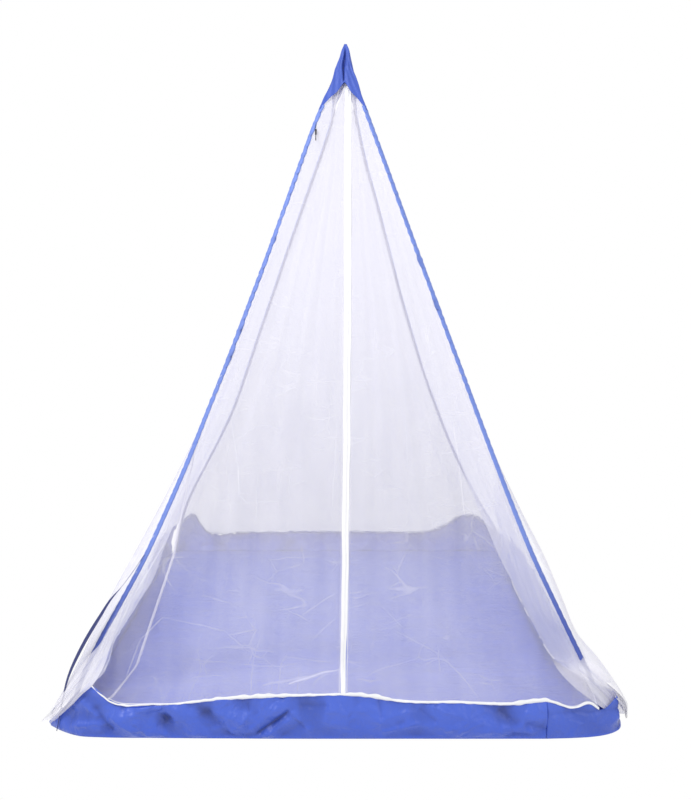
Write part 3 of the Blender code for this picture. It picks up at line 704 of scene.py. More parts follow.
def make_crease_group() -> bpy.types.NodeTree:
    """Fine creases and streaks in thin net: crumpled lines, old packing folds and soft gathers."""
    wiring, given, result = new_group("Fine creases", {"Place": "Vector"}, ("Lines", "Streaks"))
    place = given["Place"]
    bend = wiring.maths("MULTIPLY_ADD", wiring.noise(place, 4.0, 2.0), 0.16, -0.08)
    shift = wiring.add("CombineXYZ", {"X": bend, "Y": wiring.maths("MULTIPLY", bend, 0.7)})
    bent = wiring.vectors("ADD", place, shift.outputs[0])
    cells = wiring.add(
        "TexVoronoi", {"Vector": bent, "Scale": 8.0}, feature="DISTANCE_TO_EDGE", voronoi_dimensions="2D"
    )
    crumple = wiring.maths("MULTIPLY", wiring.crest(cells.outputs["Distance"], 0.020), 0.6)
    curve = wiring.curves(wiring.noise(bent, 1.0, 0.0, (2.2, 11.0, 1.0)), 0.014)
    lines = wiring.maths("MAXIMUM", crumple, wiring.maths("MULTIPLY", curve, 0.75))
    lines = wiring.maths("MULTIPLY", lines, wiring.ramp(wiring.noise(place, 6.5, 2.0), 0.47, 0.64))
    patchy = wiring.ramp(wiring.noise(place, 3.1, 3.0), 0.47, 0.60)
    at = wiring.split(bent)
    for axis in ("X", "Y"):
        fold = wiring.crest(wiring.maths("PINGPONG", at[axis], 0.055), 0.0028)
        faint = wiring.maths("MULTIPLY", wiring.maths("MULTIPLY", fold, 0.4), patchy)
        lines = wiring.maths("MAXIMUM", lines, faint)
    wiring.put(lines, result["Lines"])
    streaks = -0.5
    for stretch, detail, share in (
        ((27.0, 1.7, 1.0), 3.0, 0.3), ((11.0, 2.2, 1.0), 4.0, 0.3), ((6.0, 4.2, 1.0), 4.0, 0.4)
    ):
        streaks = wiring.maths("MULTIPLY_ADD", wiring.noise(place, 1.0, detail, stretch), share, streaks)
    wiring.put(streaks, result["Streaks"])
    return wiring.tree


def make_pinch_group() -> bpy.types.NodeTree:
    """A narrow line between two points, where cloth is pinched into a small sharp fold."""
    wiring, given, result = new_group(
        "Pinch line", {"Place": "Vector", "Start": "Vector", "End": "Vector", "Width": "Float"}, ("Mask",)
    )
    run, offset = (wiring.vectors("SUBTRACT", given[point], given["Start"]) for point in ("End", "Place"))
    reach, length = (wiring.vectors("DOT_PRODUCT", part, run) for part in (offset, run))
    share = wiring.maths("DIVIDE", reach, length, clamp=True)
    gap = wiring.vectors("DISTANCE", offset, wiring.vectors("SCALE", run, scale=share))
    taper = wiring.maths("MULTIPLY", share, wiring.maths("SUBTRACT", 1.0, share))
    taper = wiring.maths("MULTIPLY_ADD", wiring.maths("MULTIPLY", taper, 4.0), 0.6, 0.4)
    wiring.put(wiring.crest(gap, wiring.maths("MULTIPLY", given["Width"], taper)), result["Mask"])
    return wiring.tree


def make_weave_group() -> bpy.types.NodeTree:
    """Thin crumpled nylon: a fine plain weave, soft creases and slightly uneven dye."""
    wiring, given, result = new_group(
        "Nylon weave",
        {"Chart": "Vector", "Place": "Vector", "Thread": "Float", "Crumple": "Float"},
        ("Shade", "Height"),
    )
    at, place = wiring.split(given["Chart"]), given["Place"]
    turns = (wiring.maths("DIVIDE", at[axis], given["Thread"]) for axis in ("X", "Y"))
    weave = wiring.maths("MULTIPLY", *(
        wiring.maths("SINE", wiring.maths("MULTIPLY", turn, math.tau)) for turn in turns
    ))
    warp = wiring.maths("MULTIPLY_ADD", wiring.noise(place, 5.0, 3.0), 0.5, 0.75)
    bent = wiring.vectors("SCALE", place, scale=warp)
    facets = wiring.add(
        "TexVoronoi", {"Vector": bent, "Scale": 16.0, "Smoothness": 0.25}, feature="SMOOTH_F1"
    )
    fine = wiring.maths("MULTIPLY", wiring.noise(place, 42.0, 5.0), 0.3)
    crumple = wiring.maths("MULTIPLY_ADD", facets.outputs["Distance"], 0.7, fine)
    tall = wiring.maths("MULTIPLY", crumple, given["Crumple"])
    wiring.put(wiring.maths("MULTIPLY_ADD", weave, 0.00003, tall), result["Height"])
    dye = wiring.maths("SUBTRACT", wiring.noise(place, 7.0, 4.0), 0.5)
    shade = wiring.maths("MULTIPLY_ADD", dye, 0.16, 1.0)
    wiring.put(wiring.maths("MULTIPLY_ADD", weave, 0.03, shade), result["Shade"])
    return wiring.tree


def make_groups() -> Groups:
    """The node groups that several finishes share."""
    return {
        "mesh": make_mesh_group(),
        "crease": make_crease_group(),
        "pinch": make_pinch_group(),
        "weave": make_weave_group(),
    }


def new_look(name: str) -> tuple[bpy.types.Material, Wiring, Socket, Socket]:
    """An empty material, its wiring, and the two coordinates: the object's and the cloth's own."""
    look = bpy.data.materials.new(name)
    look.use_nodes = True
    wiring = Wiring(look.node_tree)
    coordinates = wiring.add("TexCoord").outputs
    return look, wiring, coordinates["Object"], coordinates["UV"]


@dataclass(frozen=True)
class NylonFinish:
    """Thin blue nylon, with its colour near the ground and its colour high up, painted shade that darkens the
    sleeves and the front and side walls lower down, and a deep colour blended in along its valley mask,
    painted shade in creases, scallops and the cap's pleat.
    """

    name: str
    low: Triple
    high: Triple
    fade_from: float = 0.0
    fade_to: float = 2.5
    roughness: float = 0.5
    crumple: float = 0.004
    thread: float = 0.0008
    # painted shade: the colour that the valley mask blends in, in creases, sleeve scallops and the cap's
    # pleat; it also darkens the sleeves' doubled patches and the back wall's top edge
    deep: Triple = (0.010, 0.020, 0.130)
    rucks: float = 0.0
    # painted highlight: the lighter colour along the lines of the rucks
    ruck_highlight: Triple = (0.20, 0.27, 0.80)
    pale: Triple | None = None
    specular: float = 0.40
    sheen: float = 0.08

    def make(self, groups: Groups) -> bpy.types.Material:
        """Builds the material.

        Args:
            groups: The shared node groups by name.

        Returns:
            The material.
        """
        look, wiring, place, chart = new_look(self.name)
        weave = wiring.group(groups["weave"], chart, place, self.thread, self.crumple)
        tall = weave["Height"]
        # blend by height: painted shade where the low colour is darker, on the sleeves and the front and side
        # walls
        fade = wiring.ramp(wiring.split(place)["Z"], self.fade_from, self.fade_to, "SMOOTHSTEP")
        colour = wiring.blend(fade, self.low, self.high)
        if self.pale:
            colour = wiring.blend(wiring.mask("lining"), colour, self.pale)
        shaded = wiring.vectors("SCALE", colour, scale=weave["Shade"])
        # painted shade: the valley mask darkens the cloth towards the deep colour
        base = wiring.blend(wiring.mask("valley"), shaded, self.deep)
        if self.rucks:
            ruck = wiring.curves(wiring.noise(place, 1.0, 4.0, (2.2, 17.0, 1.0)), 0.03)
            soft = wiring.maths("MULTIPLY", wiring.noise(place, 2.3, 3.0), 0.5)
            tall = wiring.maths("MULTIPLY_ADD", wiring.maths("MULTIPLY", ruck, soft), self.rucks, tall)
            # painted highlight: lightens the colour along the lines of the rucks
            base = wiring.blend(wiring.maths("MULTIPLY", ruck, 0.22), base, self.ruck_highlight)
        wiring.dress(tall, 1.0, 1.0, {
            "Base Color": base, "Roughness": self.roughness, "Specular IOR Level": self.specular,
            "Sheen Weight": self.sheen, "Sheen Roughness": 0.5,
        })
        return look


@dataclass(frozen=True)
class NetFinish:
    """Sheer white knitted net, denser where it is folded, pinched or hemmed; its colour goes whiter there,
    the hem's own white and a painted highlight in the folds and pinches, with painted shade near the ground
    where low_shade is below 1.
    """

    name: str
    runs_along_x: bool
    pinches: tuple[Pinch, ...] = ()
    hem: float = 0.006
    band: float = 0.0
    band_cover: float = 0.28
    colour: Triple = (0.79, 0.775, 0.88)
    # the colour where the net is dense: the hem's own white, and a painted highlight in folds and pinches
    bright: Triple = (0.985, 0.98, 1.0)
    pitch: float = 0.0016
    thread: float = 0.16
    hole_cover: float = 0.25
    thread_cover: float = 0.67
    streaks: float = 0.36
    crumple: float = 0.26
    # painted shade: how far the net is darkened near the ground
    low_shade: float = 1.0
    low_from: float = 0.1
    low_to: float = 1.7
    sheen: float = 0.0

    def folds(self, wiring: Wiring, groups: Groups, place: Socket, lines: Socket) -> Socket:
        """How much the net is folded at each place.

        Args:
            wiring: The material's wiring.
            groups: The shared node groups by name.
            place: The place on the panel, along it and in height.
            lines: The net's fine creases.

        Returns:
            The share, from the cloth's own mask, its fine creases and its pinches.
        """
        folded = wiring.maths("MULTIPLY_ADD", lines, self.crumple, wiring.mask("folded"))
        for pinch in self.pinches:
            ends = ((pinch.start, pinch.start_height, 0), (pinch.end, pinch.end_height, 0))
            line = wiring.group(groups["pinch"], place, *ends, pinch.width)
            part = wiring.maths("MULTIPLY", line["Mask"], pinch.strength)
            folded = wiring.maths("MAXIMUM", folded, part)
        return folded

    def make(self, groups: Groups) -> bpy.types.Material:
        """Builds the material.

        Args:
            groups: The shared node groups by name.

        Returns:
            The material.
        """
        look, wiring, middle, chart = new_look(self.name)
        at, down = wiring.split(middle), wiring.split(chart)["Y"]
        level = at["X" if self.runs_along_x else "Y"]
        flat = wiring.add("CombineXYZ", {"X": level, "Y": at["Z"]}).outputs[0]
        knit = wiring.group(groups["mesh"], chart, self.pitch, self.thread)
        creases = wiring.group(groups["crease"], flat)
        spread = self.thread_cover - self.hole_cover
        cover = wiring.maths("MULTIPLY_ADD", knit["Cover"], spread, self.hole_cover)
        cover = wiring.maths("ADD", cover, wiring.maths("MULTIPLY", creases["Streaks"], self.streaks))
        if self.band:
            doubled = wiring.maths("LESS_THAN", down, self.band)
            cover = wiring.maths("MULTIPLY_ADD", doubled, self.band_cover, cover)
        folded = self.folds(wiring, groups, flat, creases["Lines"])
        dense = wiring.maths("MAXIMUM", folded, wiring.maths("LESS_THAN", down, self.hem))
        # painted shade near the ground, and a painted highlight where the net is folded or pinched; the hem
        # is truly white
        low = tuple(part * self.low_shade for part in self.colour)
        rise = wiring.ramp(at["Z"], self.low_from, self.low_to, "SMOOTHSTEP")
        base = wiring.blend(dense, wiring.blend(rise, low, self.colour), self.bright)
        open_share = wiring.maths("SUBTRACT", 1.0, dense, clamp=True)
        opacity = wiring.maths("MULTIPLY_ADD", cover, open_share, dense, clamp=True)
        shown = wiring.maths("SUBTRACT", 1.0, wiring.mask("sheer"), clamp=True)
        wiring.dress(knit["Height"], 0.4, 0.0004, {
            "Base Color": base, "Alpha": wiring.maths("MULTIPLY", opacity, shown),
            "Roughness": 0.8, "Specular IOR Level": 0.2, "Sheen Weight": self.sheen,
        })
        return look


@dataclass(frozen=True)
class HardFinish:
    """A moulded or drawn hard surface with fine scuffs."""

    name: str
    colour: Triple
    worn: Triple
    roughness: float = 0.4

    def make(self) -> bpy.types.Material:
        """Builds the material."""
        look, wiring, place, _ = new_look(self.name)
        scuffs = wiring.noise(place, 26.0, 6.0)
        share = wiring.maths("MULTIPLY", wiring.maths("SUBTRACT", scuffs, 0.45), 1.2, clamp=True)
        wiring.dress(wiring.noise(place, 220.0, 3.0), 0.3, 0.0002, {
            "Base Color": wiring.blend(share, self.colour, self.worn),
            "Roughness": wiring.maths("MULTIPLY_ADD", scuffs, 0.25, self.roughness - 0.12),
        })
        return look


@dataclass(frozen=True)
class TapeFinish:
    """White woven tape."""

    name: str
    colour: Triple = (0.96, 0.96, 0.98)
    rib: float = 0.0011
    pick: float = 0.0009

    def make(self) -> bpy.types.Material:
        """Builds the material."""
        look, wiring, place, chart = new_look(self.name)
        at = wiring.split(chart)
        ribs, picks = (
            wiring.maths("SINE", wiring.maths("MULTIPLY", at[axis], math.tau / length))
            for axis, length in (("X", self.rib), ("Y", self.pick))
        )
        weave = wiring.maths("MULTIPLY_ADD", picks, 0.5, ribs)
        dust = wiring.maths("SUBTRACT", wiring.noise(place, 14.0, 4.0), 0.5)
        shade = wiring.maths("MULTIPLY_ADD", weave, 0.012, wiring.maths("MULTIPLY_ADD", dust, 0.06, 0.99))
        base = wiring.vectors("SCALE", self.colour, scale=shade)
        wiring.dress(weave, 0.5, 0.0003, {"Base Color": base, "Roughness": 0.7})
        return look


# ---------------------------------------------------------------- the pole frame


def pole_line(corner: Corner, heights: Sequence[float]) -> np.ndarray:
    """The centre line of a corner's pole, as one point for each height."""
    heights = np.asarray(heights, float)
    reach = spline(column(POLE_ROWS, "height"), column(POLE_ROWS, corner.name.lower()), heights)
    step_x, step_y = corner.value
    return np.stack([step_x * reach, step_y * reach, heights], axis=1)


def lean(corner: Corner) -> np.ndarray:
    """The level direction in which a corner's pole leans out."""
    step = np.array([*corner.value, 0.0])
    return step / np.linalg.norm(step)


def sideways(corner: Corner) -> np.ndarray:
    """The level direction across a corner's sleeve, a quarter turn left of its lean."""
    out = lean(corner)
    return np.array([-out[1], out[0], 0.0])


def sleeve_edge(corner: Corner, side: int, heights: np.ndarray) -> np.ndarray:
    """Where a net's edge runs beside a corner's sleeve, drawn in under the cap.

    Args:
        corner: The sleeve's corner.
        side: Which of the sleeve's edges, 1 or -1.
        heights: Where to read the line.

    Returns:
        One point for each height.
    """
    centre, out = pole_line(corner, heights), lean(corner)
    across = sideways(corner) * side
    beside = centre + across * (SLEEVE_HALF_WIDTH + NET_OFFSET)
    axis = 0 if abs(across[0] + out[0]) < abs(across[1] + out[1]) else 1
    tucked = centre.copy()
    tucked[:, axis] += math.copysign(NET_TOP_OFFSET, across[axis])
    above = smooth_step((np.asarray(heights) - SLEEVE_TOP + 0.05) / 0.05)[:, None]
    return beside * (1 - above) + tucked * above


@dataclass
class Sleeve:
    """A puckered cloth tube round one pole, with the nets sewn to its two edges."""

    corner: Corner
    net_side: int
    half_width: float
    patches: tuple[Patch, ...] = ()
    overlap: float = 0.012  # how far it reaches above SLEEVE_TOP, under the cap
    stitch: float = 0.046
    chart_radius: float = 0.0085
    rings: int = 380
    around: int = 20

    def build(self) -> bpy.types.Object:
        """Builds the sleeve, closed round the pole."""
        fall = SLEEVE_FOOT - SLEEVE_TOP - self.overlap
        heights = (SLEEVE_TOP + self.overlap + fall * even(self.rings))[:, None]
        centre = pole_line(self.corner, heights[:, 0])
        length = arc(centre)[:, None]
        out, across = lean(self.corner), sideways(self.corner)
        angle = np.linspace(0, math.tau, self.around + 1)
        angle[-1] = 0.0
        pucker = ripple(length, ((0.0011, 0.043, 0.0), (0.0009, 0.029, 0.4), (0.0006, 0.017, 0.2)))
        scallop = np.abs(np.sin(math.pi * length / self.stitch + ripple(length, ((0.8, 0.31, 0.1),))))
        scallop = 1 - (1 - scallop) * smooth_step((heights - 0.85) / 0.4)
        pucker = pucker * (0.35 + 0.65 * smooth_step((heights - 0.8) / 0.4))
        doubled = np.zeros_like(length)
        for patch in self.patches:
            doubled += np.exp(-(((heights - patch.height) / patch.length) ** 2) * 4)
        level, up = np.cos(angle), np.sin(angle)
        wide = np.sign(level) * np.abs(level) ** 0.85
        inner = np.clip(wide * self.net_side, 0, 1) ** 2
        reach = self.half_width * wide * np.ones_like(length)
        reach += self.net_side * inner * (0.0034 * scallop - 0.0012 + 0.004 * doubled)
        wave = ripple(length + 0.011 * wide, ((0.0007, 0.037, 0.3), (0.0005, 0.021, 0.8)))
        deep = (SLEEVE_DEPTH + 0.0008 * pucker / 0.0011) * up + wave + 0.0016 * doubled * up
        places = centre[:, None, :] + across * reach[..., None] + out * deep[..., None]
        # painted shade: the valley mask darkens the scallops where the stitches pull the sleeve in; it also
        # darkens the doubled patches
        valley = 0.55 * np.clip(1 - scallop * 2.2, 0, 1) * inner
        masks = {
            "valley": np.clip(valley + 0.35 * doubled * inner, 0, 1),
            "lining": np.clip(-up * 3 + 0.4, 0, 1),
        }
        girth = np.linspace(0, math.tau * self.chart_radius, self.around + 1)
        name = f"sleeve_{self.corner.name.lower()}_cloth"
        return cloth_piece(name, places, (length, girth), masks, tube=True)


# ---------------------------------------------------------------- the low wall and the ground sheet


def crease_heights(level: np.ndarray, tall: np.ndarray, creases: Sequence[Crease]) -> np.ndarray:
    """How far creased cloth stands out.

    Args:
        level: Each point's place along the wall, in metres.
        tall: Each point's height, in metres.
        creases: The creases.

    Returns:
        One distance for each point.
    """
    total = np.zeros_like(level)
    for crease in creases:
        run = np.array([crease.end - crease.start, crease.end_height - crease.start_height])
        length = max(float(np.hypot(*run)), 1e-6)
        run /= length
        reach = (level - crease.start) * run[0] + (tall - crease.start_height) * run[1]
        beside = (level - crease.start) * run[1] - (tall - crease.start_height) * run[0]
        over = np.maximum(np.abs(reach / length - 0.5) * 2 - 0.7, 0) / 0.3
        sharp = np.sqrt(beside * beside + 0.0015**2) / crease.width
        total += crease.depth * np.exp(-sharp) * np.exp(-2 * over * over)
    return total


def scattered_creases(seed: int, count: int, start: float, end: float, top: float) -> list[Crease]:
    """Small creases strewn over a wall at random, the same for the same seed.

    Args:
        seed: Which set of creases.
        count: How many.
        start: Where the wall starts.
        end: Where it ends.
        top: How high they reach.

    Returns:
        The creases.
    """
    dice = np.random.default_rng(seed)
    creases = []
    for _ in range(count):
        place, height = dice.uniform(start, end), dice.uniform(0.02, top)
        turn, length = dice.normal(0.0, 0.55), dice.uniform(0.06, 0.19)
        half = np.array([math.cos(turn), math.sin(turn)]) * length / 2
        width, depth = dice.uniform(0.010, 0.028), dice.uniform(0.004, 0.012) * dice.choice([-0.7, 1.0])
        creases.append(
            Crease(place - half[0], height - half[1], place + half[0], height + half[1], width, depth)
        )
    return creases


def facets(level: np.ndarray, tall: np.ndarray, seed: int) -> np.ndarray:
    """How far crumpled cloth stands out: flat facets between sharp creases, from -1 to 1.

    Args:
        level: Each point's place along the wall, in metres.
        tall: Each point's height, in metres.
        seed: Which set of facets.

    Returns:
        One value for each point.
    """
    dice = np.random.default_rng(seed + 100)
    total = np.zeros_like(level)
    for turn, length, share in (
        (0.85, 0.21, 0.34), (-0.70, 0.16, 0.26), (1.35, 0.13, 0.15), (0.25, 0.115, 0.15), (-1.2, 0.083, 0.10)
    ):
        turn += dice.normal(0, 0.1)
        place = (level * math.sin(turn) + tall * math.cos(turn)) / length + dice.uniform(0, 1)
        place = place + 0.35 * np.sin(4.1 * level + 9.0 * tall + dice.uniform(0, 6))
        here = smooth_step(0.5 + 0.9 * np.sin(5.3 * level + dice.uniform(0, 6)))
        total += share * (4 * np.abs(place % 1.0 - 0.5) - 1) * (0.35 + 0.65 * here)
    return total


@dataclass
class Wall:
    """A strip of nylon that stands round one side of the ground sheet."""

    node: str
    stations: tuple[Station, ...]
    runs_along_x: bool
    creases: tuple[Crease, ...] = ()
    seed: int = 0
    scatter: int = 30
    scatter_top: float = 0.13
    slack: float = 0.0030
    crumple: float = 0.010
    calm_from: float = 9.0
    edge_dark: float = 0.0
    columns: int = 320
    rows: int = 22

    def foot_line(self) -> np.ndarray:
        """The wall's foot on the ground, a point for each station."""
        return np.array([(station.foot_x, station.foot_y, 0.0) for station in self.stations])

    def top_line(self) -> np.ndarray:
        """The wall's top edge, a point for each station."""
        return np.array([(station.top_x, station.top_y, station.top_z) for station in self.stations])

    def feet(self, shares: np.ndarray) -> np.ndarray:
        """Points along the wall's foot at these shares."""
        return along(self.foot_line(), shares)

    def tops(self, shares: np.ndarray) -> np.ndarray:
        """Points along the wall's top edge at these shares of its foot."""
        lengths = arc(self.foot_line())
        return spline(lengths / lengths[-1], self.top_line(), shares)

    def surface(self, shares: np.ndarray, ups: np.ndarray) -> np.ndarray:
        """The wall's curve from its foot to its top edge.

        Args:
            shares: Shares of the way along the wall.
            ups: Shares of the way up, from the top of its seam.

        Returns:
            Points in rows from the bottom up.
        """
        feet, tops = self.feet(shares), self.tops(shares)
        seams = feet + (0, 0, WALL_SEAM)
        lean_out = ((feet - tops) ** 2).sum(axis=1) - tops[:, 2] ** 2
        fallen = np.minimum(1, np.sqrt(np.maximum(0, lean_out)) / (2 * tops[:, 2]))
        away = feet / np.linalg.norm(feet, axis=1, keepdims=True)
        middle = (seams + tops) / 2 + away * (WALL_BULGE * (1 - fallen))[:, None]
        middle[:, 2] += 2 * FALLEN_BULGE * np.maximum(0, fallen - FALLEN_FROM)
        up = ups[:, None, None]
        low = seams + (middle - seams) * up
        high = middle + (tops - middle) * up
        return low + (high - low) * up

    def relief(self, level: np.ndarray, tall: np.ndarray, length: np.ndarray, up: np.ndarray) -> np.ndarray:
        """How far the wall's creases, crumpling and puckers stand out.

        Args:
            level: Each point's place along the wall's main axis.
            tall: Each point's height.
            length: How far along the wall each column lies.
            up: Each row's share of the way up.

        Returns:
            One distance for each point.
        """
        ends = float(level.min()), float(level.max())
        strewn = scattered_creases(self.seed, self.scatter, *ends, self.scatter_top)
        out = crease_heights(level, tall, self.creases) + crease_heights(level, tall, strewn)
        out += self.slack * ripple(length + 0.10 * up, ((0.6, 0.37, 0.1), (0.4, 0.171, 0.6)))
        puckers = ripple(length, ((0.5, 0.043, 0.2), (0.5, 0.067, 0.7), (0.35, 0.029, 0.4)))
        out += 0.0011 * puckers * smooth_step((up - 0.72) / 0.28)
        calm = 1 - 0.55 * smooth_step((level - self.calm_from) / 0.15)
        rolled = 1 - 0.6 * smooth_step((up - 0.75) / 0.25)
        out += self.crumple * calm * facets(level, tall, self.seed) * rolled
        out += 0.0007 * ripple(length, ((1, 0.052, 0.5),)) * smooth_step((0.3 - up) / 0.3)
        return out

    def build(self) -> bpy.types.Object:
        """Builds the wall with its creases, its rolled top edge and its seam at the ground."""
        feet = self.feet(even(self.columns))
        seam = [feet + (0, 0, height) for height in (WALL_LOWEST, WALL_SEAM * 0.35, WALL_SEAM * 0.7)]
        cloth = self.surface(even(self.columns), even(self.rows - len(seam)))
        places = np.concatenate([np.stack(seam), cloth])
        level = places[..., 0 if self.runs_along_x else 1]
        length, up = arc(feet)[None, :], even(self.rows)[:, None]
        out = self.relief(level, places[..., 2], length, up)
        held = smooth_step(up / 0.12)
        places = places + outward_normals(places) * (out * held)[..., None]
        places[..., 2] = np.maximum(places[..., 2], WALL_LOWEST)
        # painted shade: darker where the wall sinks in, lighter where it stands out
        valley = np.clip(0.10 - out / 0.024, 0, 0.74) * held
        # the back wall's top rows are raised unevenly and darkened in a rough line
        if self.edge_dark:
            rough = 1 + ripple(length, ((0.3, 0.11, 0.1), (0.25, 0.047, 0.4)))
            uneven = ripple(length, ((1, 0.043, 0.3), (0.8, 0.071, 0.1)))
            places[..., 2] += 0.0022 * smooth_step((up - 0.8) / 0.2) * uneven
            valley = np.clip(valley + self.edge_dark * smooth_step((up - 0.86) / 0.1) * rough, 0, 0.9)
        chart = (length, up * WALL_HEIGHT)
        return cloth_piece(f"{self.node}_cloth", places, chart, {"valley": valley}, CLOTH)


@dataclass
class GroundSheet:
    """The blue ground sheet, with its fine wrinkles."""

    walls: tuple[Wall, ...]
    steps: int = 150
    lift: float = 0.0050
    inset: float = 0.9995

    def outline(self) -> np.ndarray:
        """The flat sheet between the feet of the four walls, in rows and columns."""
        shares = even(self.steps)
        front, right, back, left = (wall.feet(FINE) for wall in self.walls)
        turn = int(np.argmax(right[:, 0] - right[:, 1]))
        south = along(np.concatenate([front, right[1 : turn + 1]])[::6], shares)
        north = along(back[::-1][::6], shares)
        east = along(np.concatenate([south[-1:], right[turn:][6::6], north[-1:]]), shares)
        west = along(np.concatenate([south[:1], left[::-1][6:-6:6], north[:1]]), shares)
        u, v = shares[None, :, None], shares[:, None, None]
        places = (1 - v) * south[None] + v * north[None] + (1 - u) * west[:, None] + u * east[:, None]
        corners = (1 - u) * (1 - v) * south[0] + u * (1 - v) * south[-1]
        corners = corners + (1 - u) * v * north[0] + u * v * north[-1]
        return (places - corners) * self.inset

    def build(self) -> bpy.types.Object:
        """Builds the sheet, with low waves, folds and fine ridges that die out at its edge."""
        places = self.outline()
        x, y = places[..., 0], places[..., 1]
        waves = ((0.5, 0.213, 0.1), (0.5, 0.131, 0.5), (0.4, 0.079, 0.3))
        wave = ripple(y + 0.05 * np.sin(3.1 * x + 0.6), waves)
        cross = ripple(x + 0.09 * np.sin(2.3 * y), ((0.6, 0.41, 0.2), (0.4, 0.23, 0.8)))
        folds = np.abs(np.sin(math.tau * (y * 4.3 + 0.35 * np.sin(2.1 * x + 1.3))))
        fine = np.abs(np.sin(math.tau * (y * 8.7 + 0.25 * np.sin(3.7 * x))))
        ridge = hump(folds, 0.10) * (0.5 + 0.5 * np.sin(5.3 * x + 9 * y))
        ridge = ridge + 0.6 * hump(fine, 0.14) * (0.5 + 0.5 * np.sin(7.1 * x - 13 * y))
        rise = self.lift * (0.75 + 0.42 * wave + 0.30 * cross) + 0.0030 * ridge
        edge = np.minimum(even(self.steps), 1 - even(self.steps))
        inside = smooth_step(np.minimum(edge[None, :], edge[:, None]) / 0.04)
        places[..., 2] = GROUND * 0.6 + np.clip(rise, 0.0002, 0.02) * inside
        return cloth_piece("floor_sheet_cloth", places, (x, y), {"valley": 0.0}, CLOTH)


# ---------------------------------------------------------------- the net panels


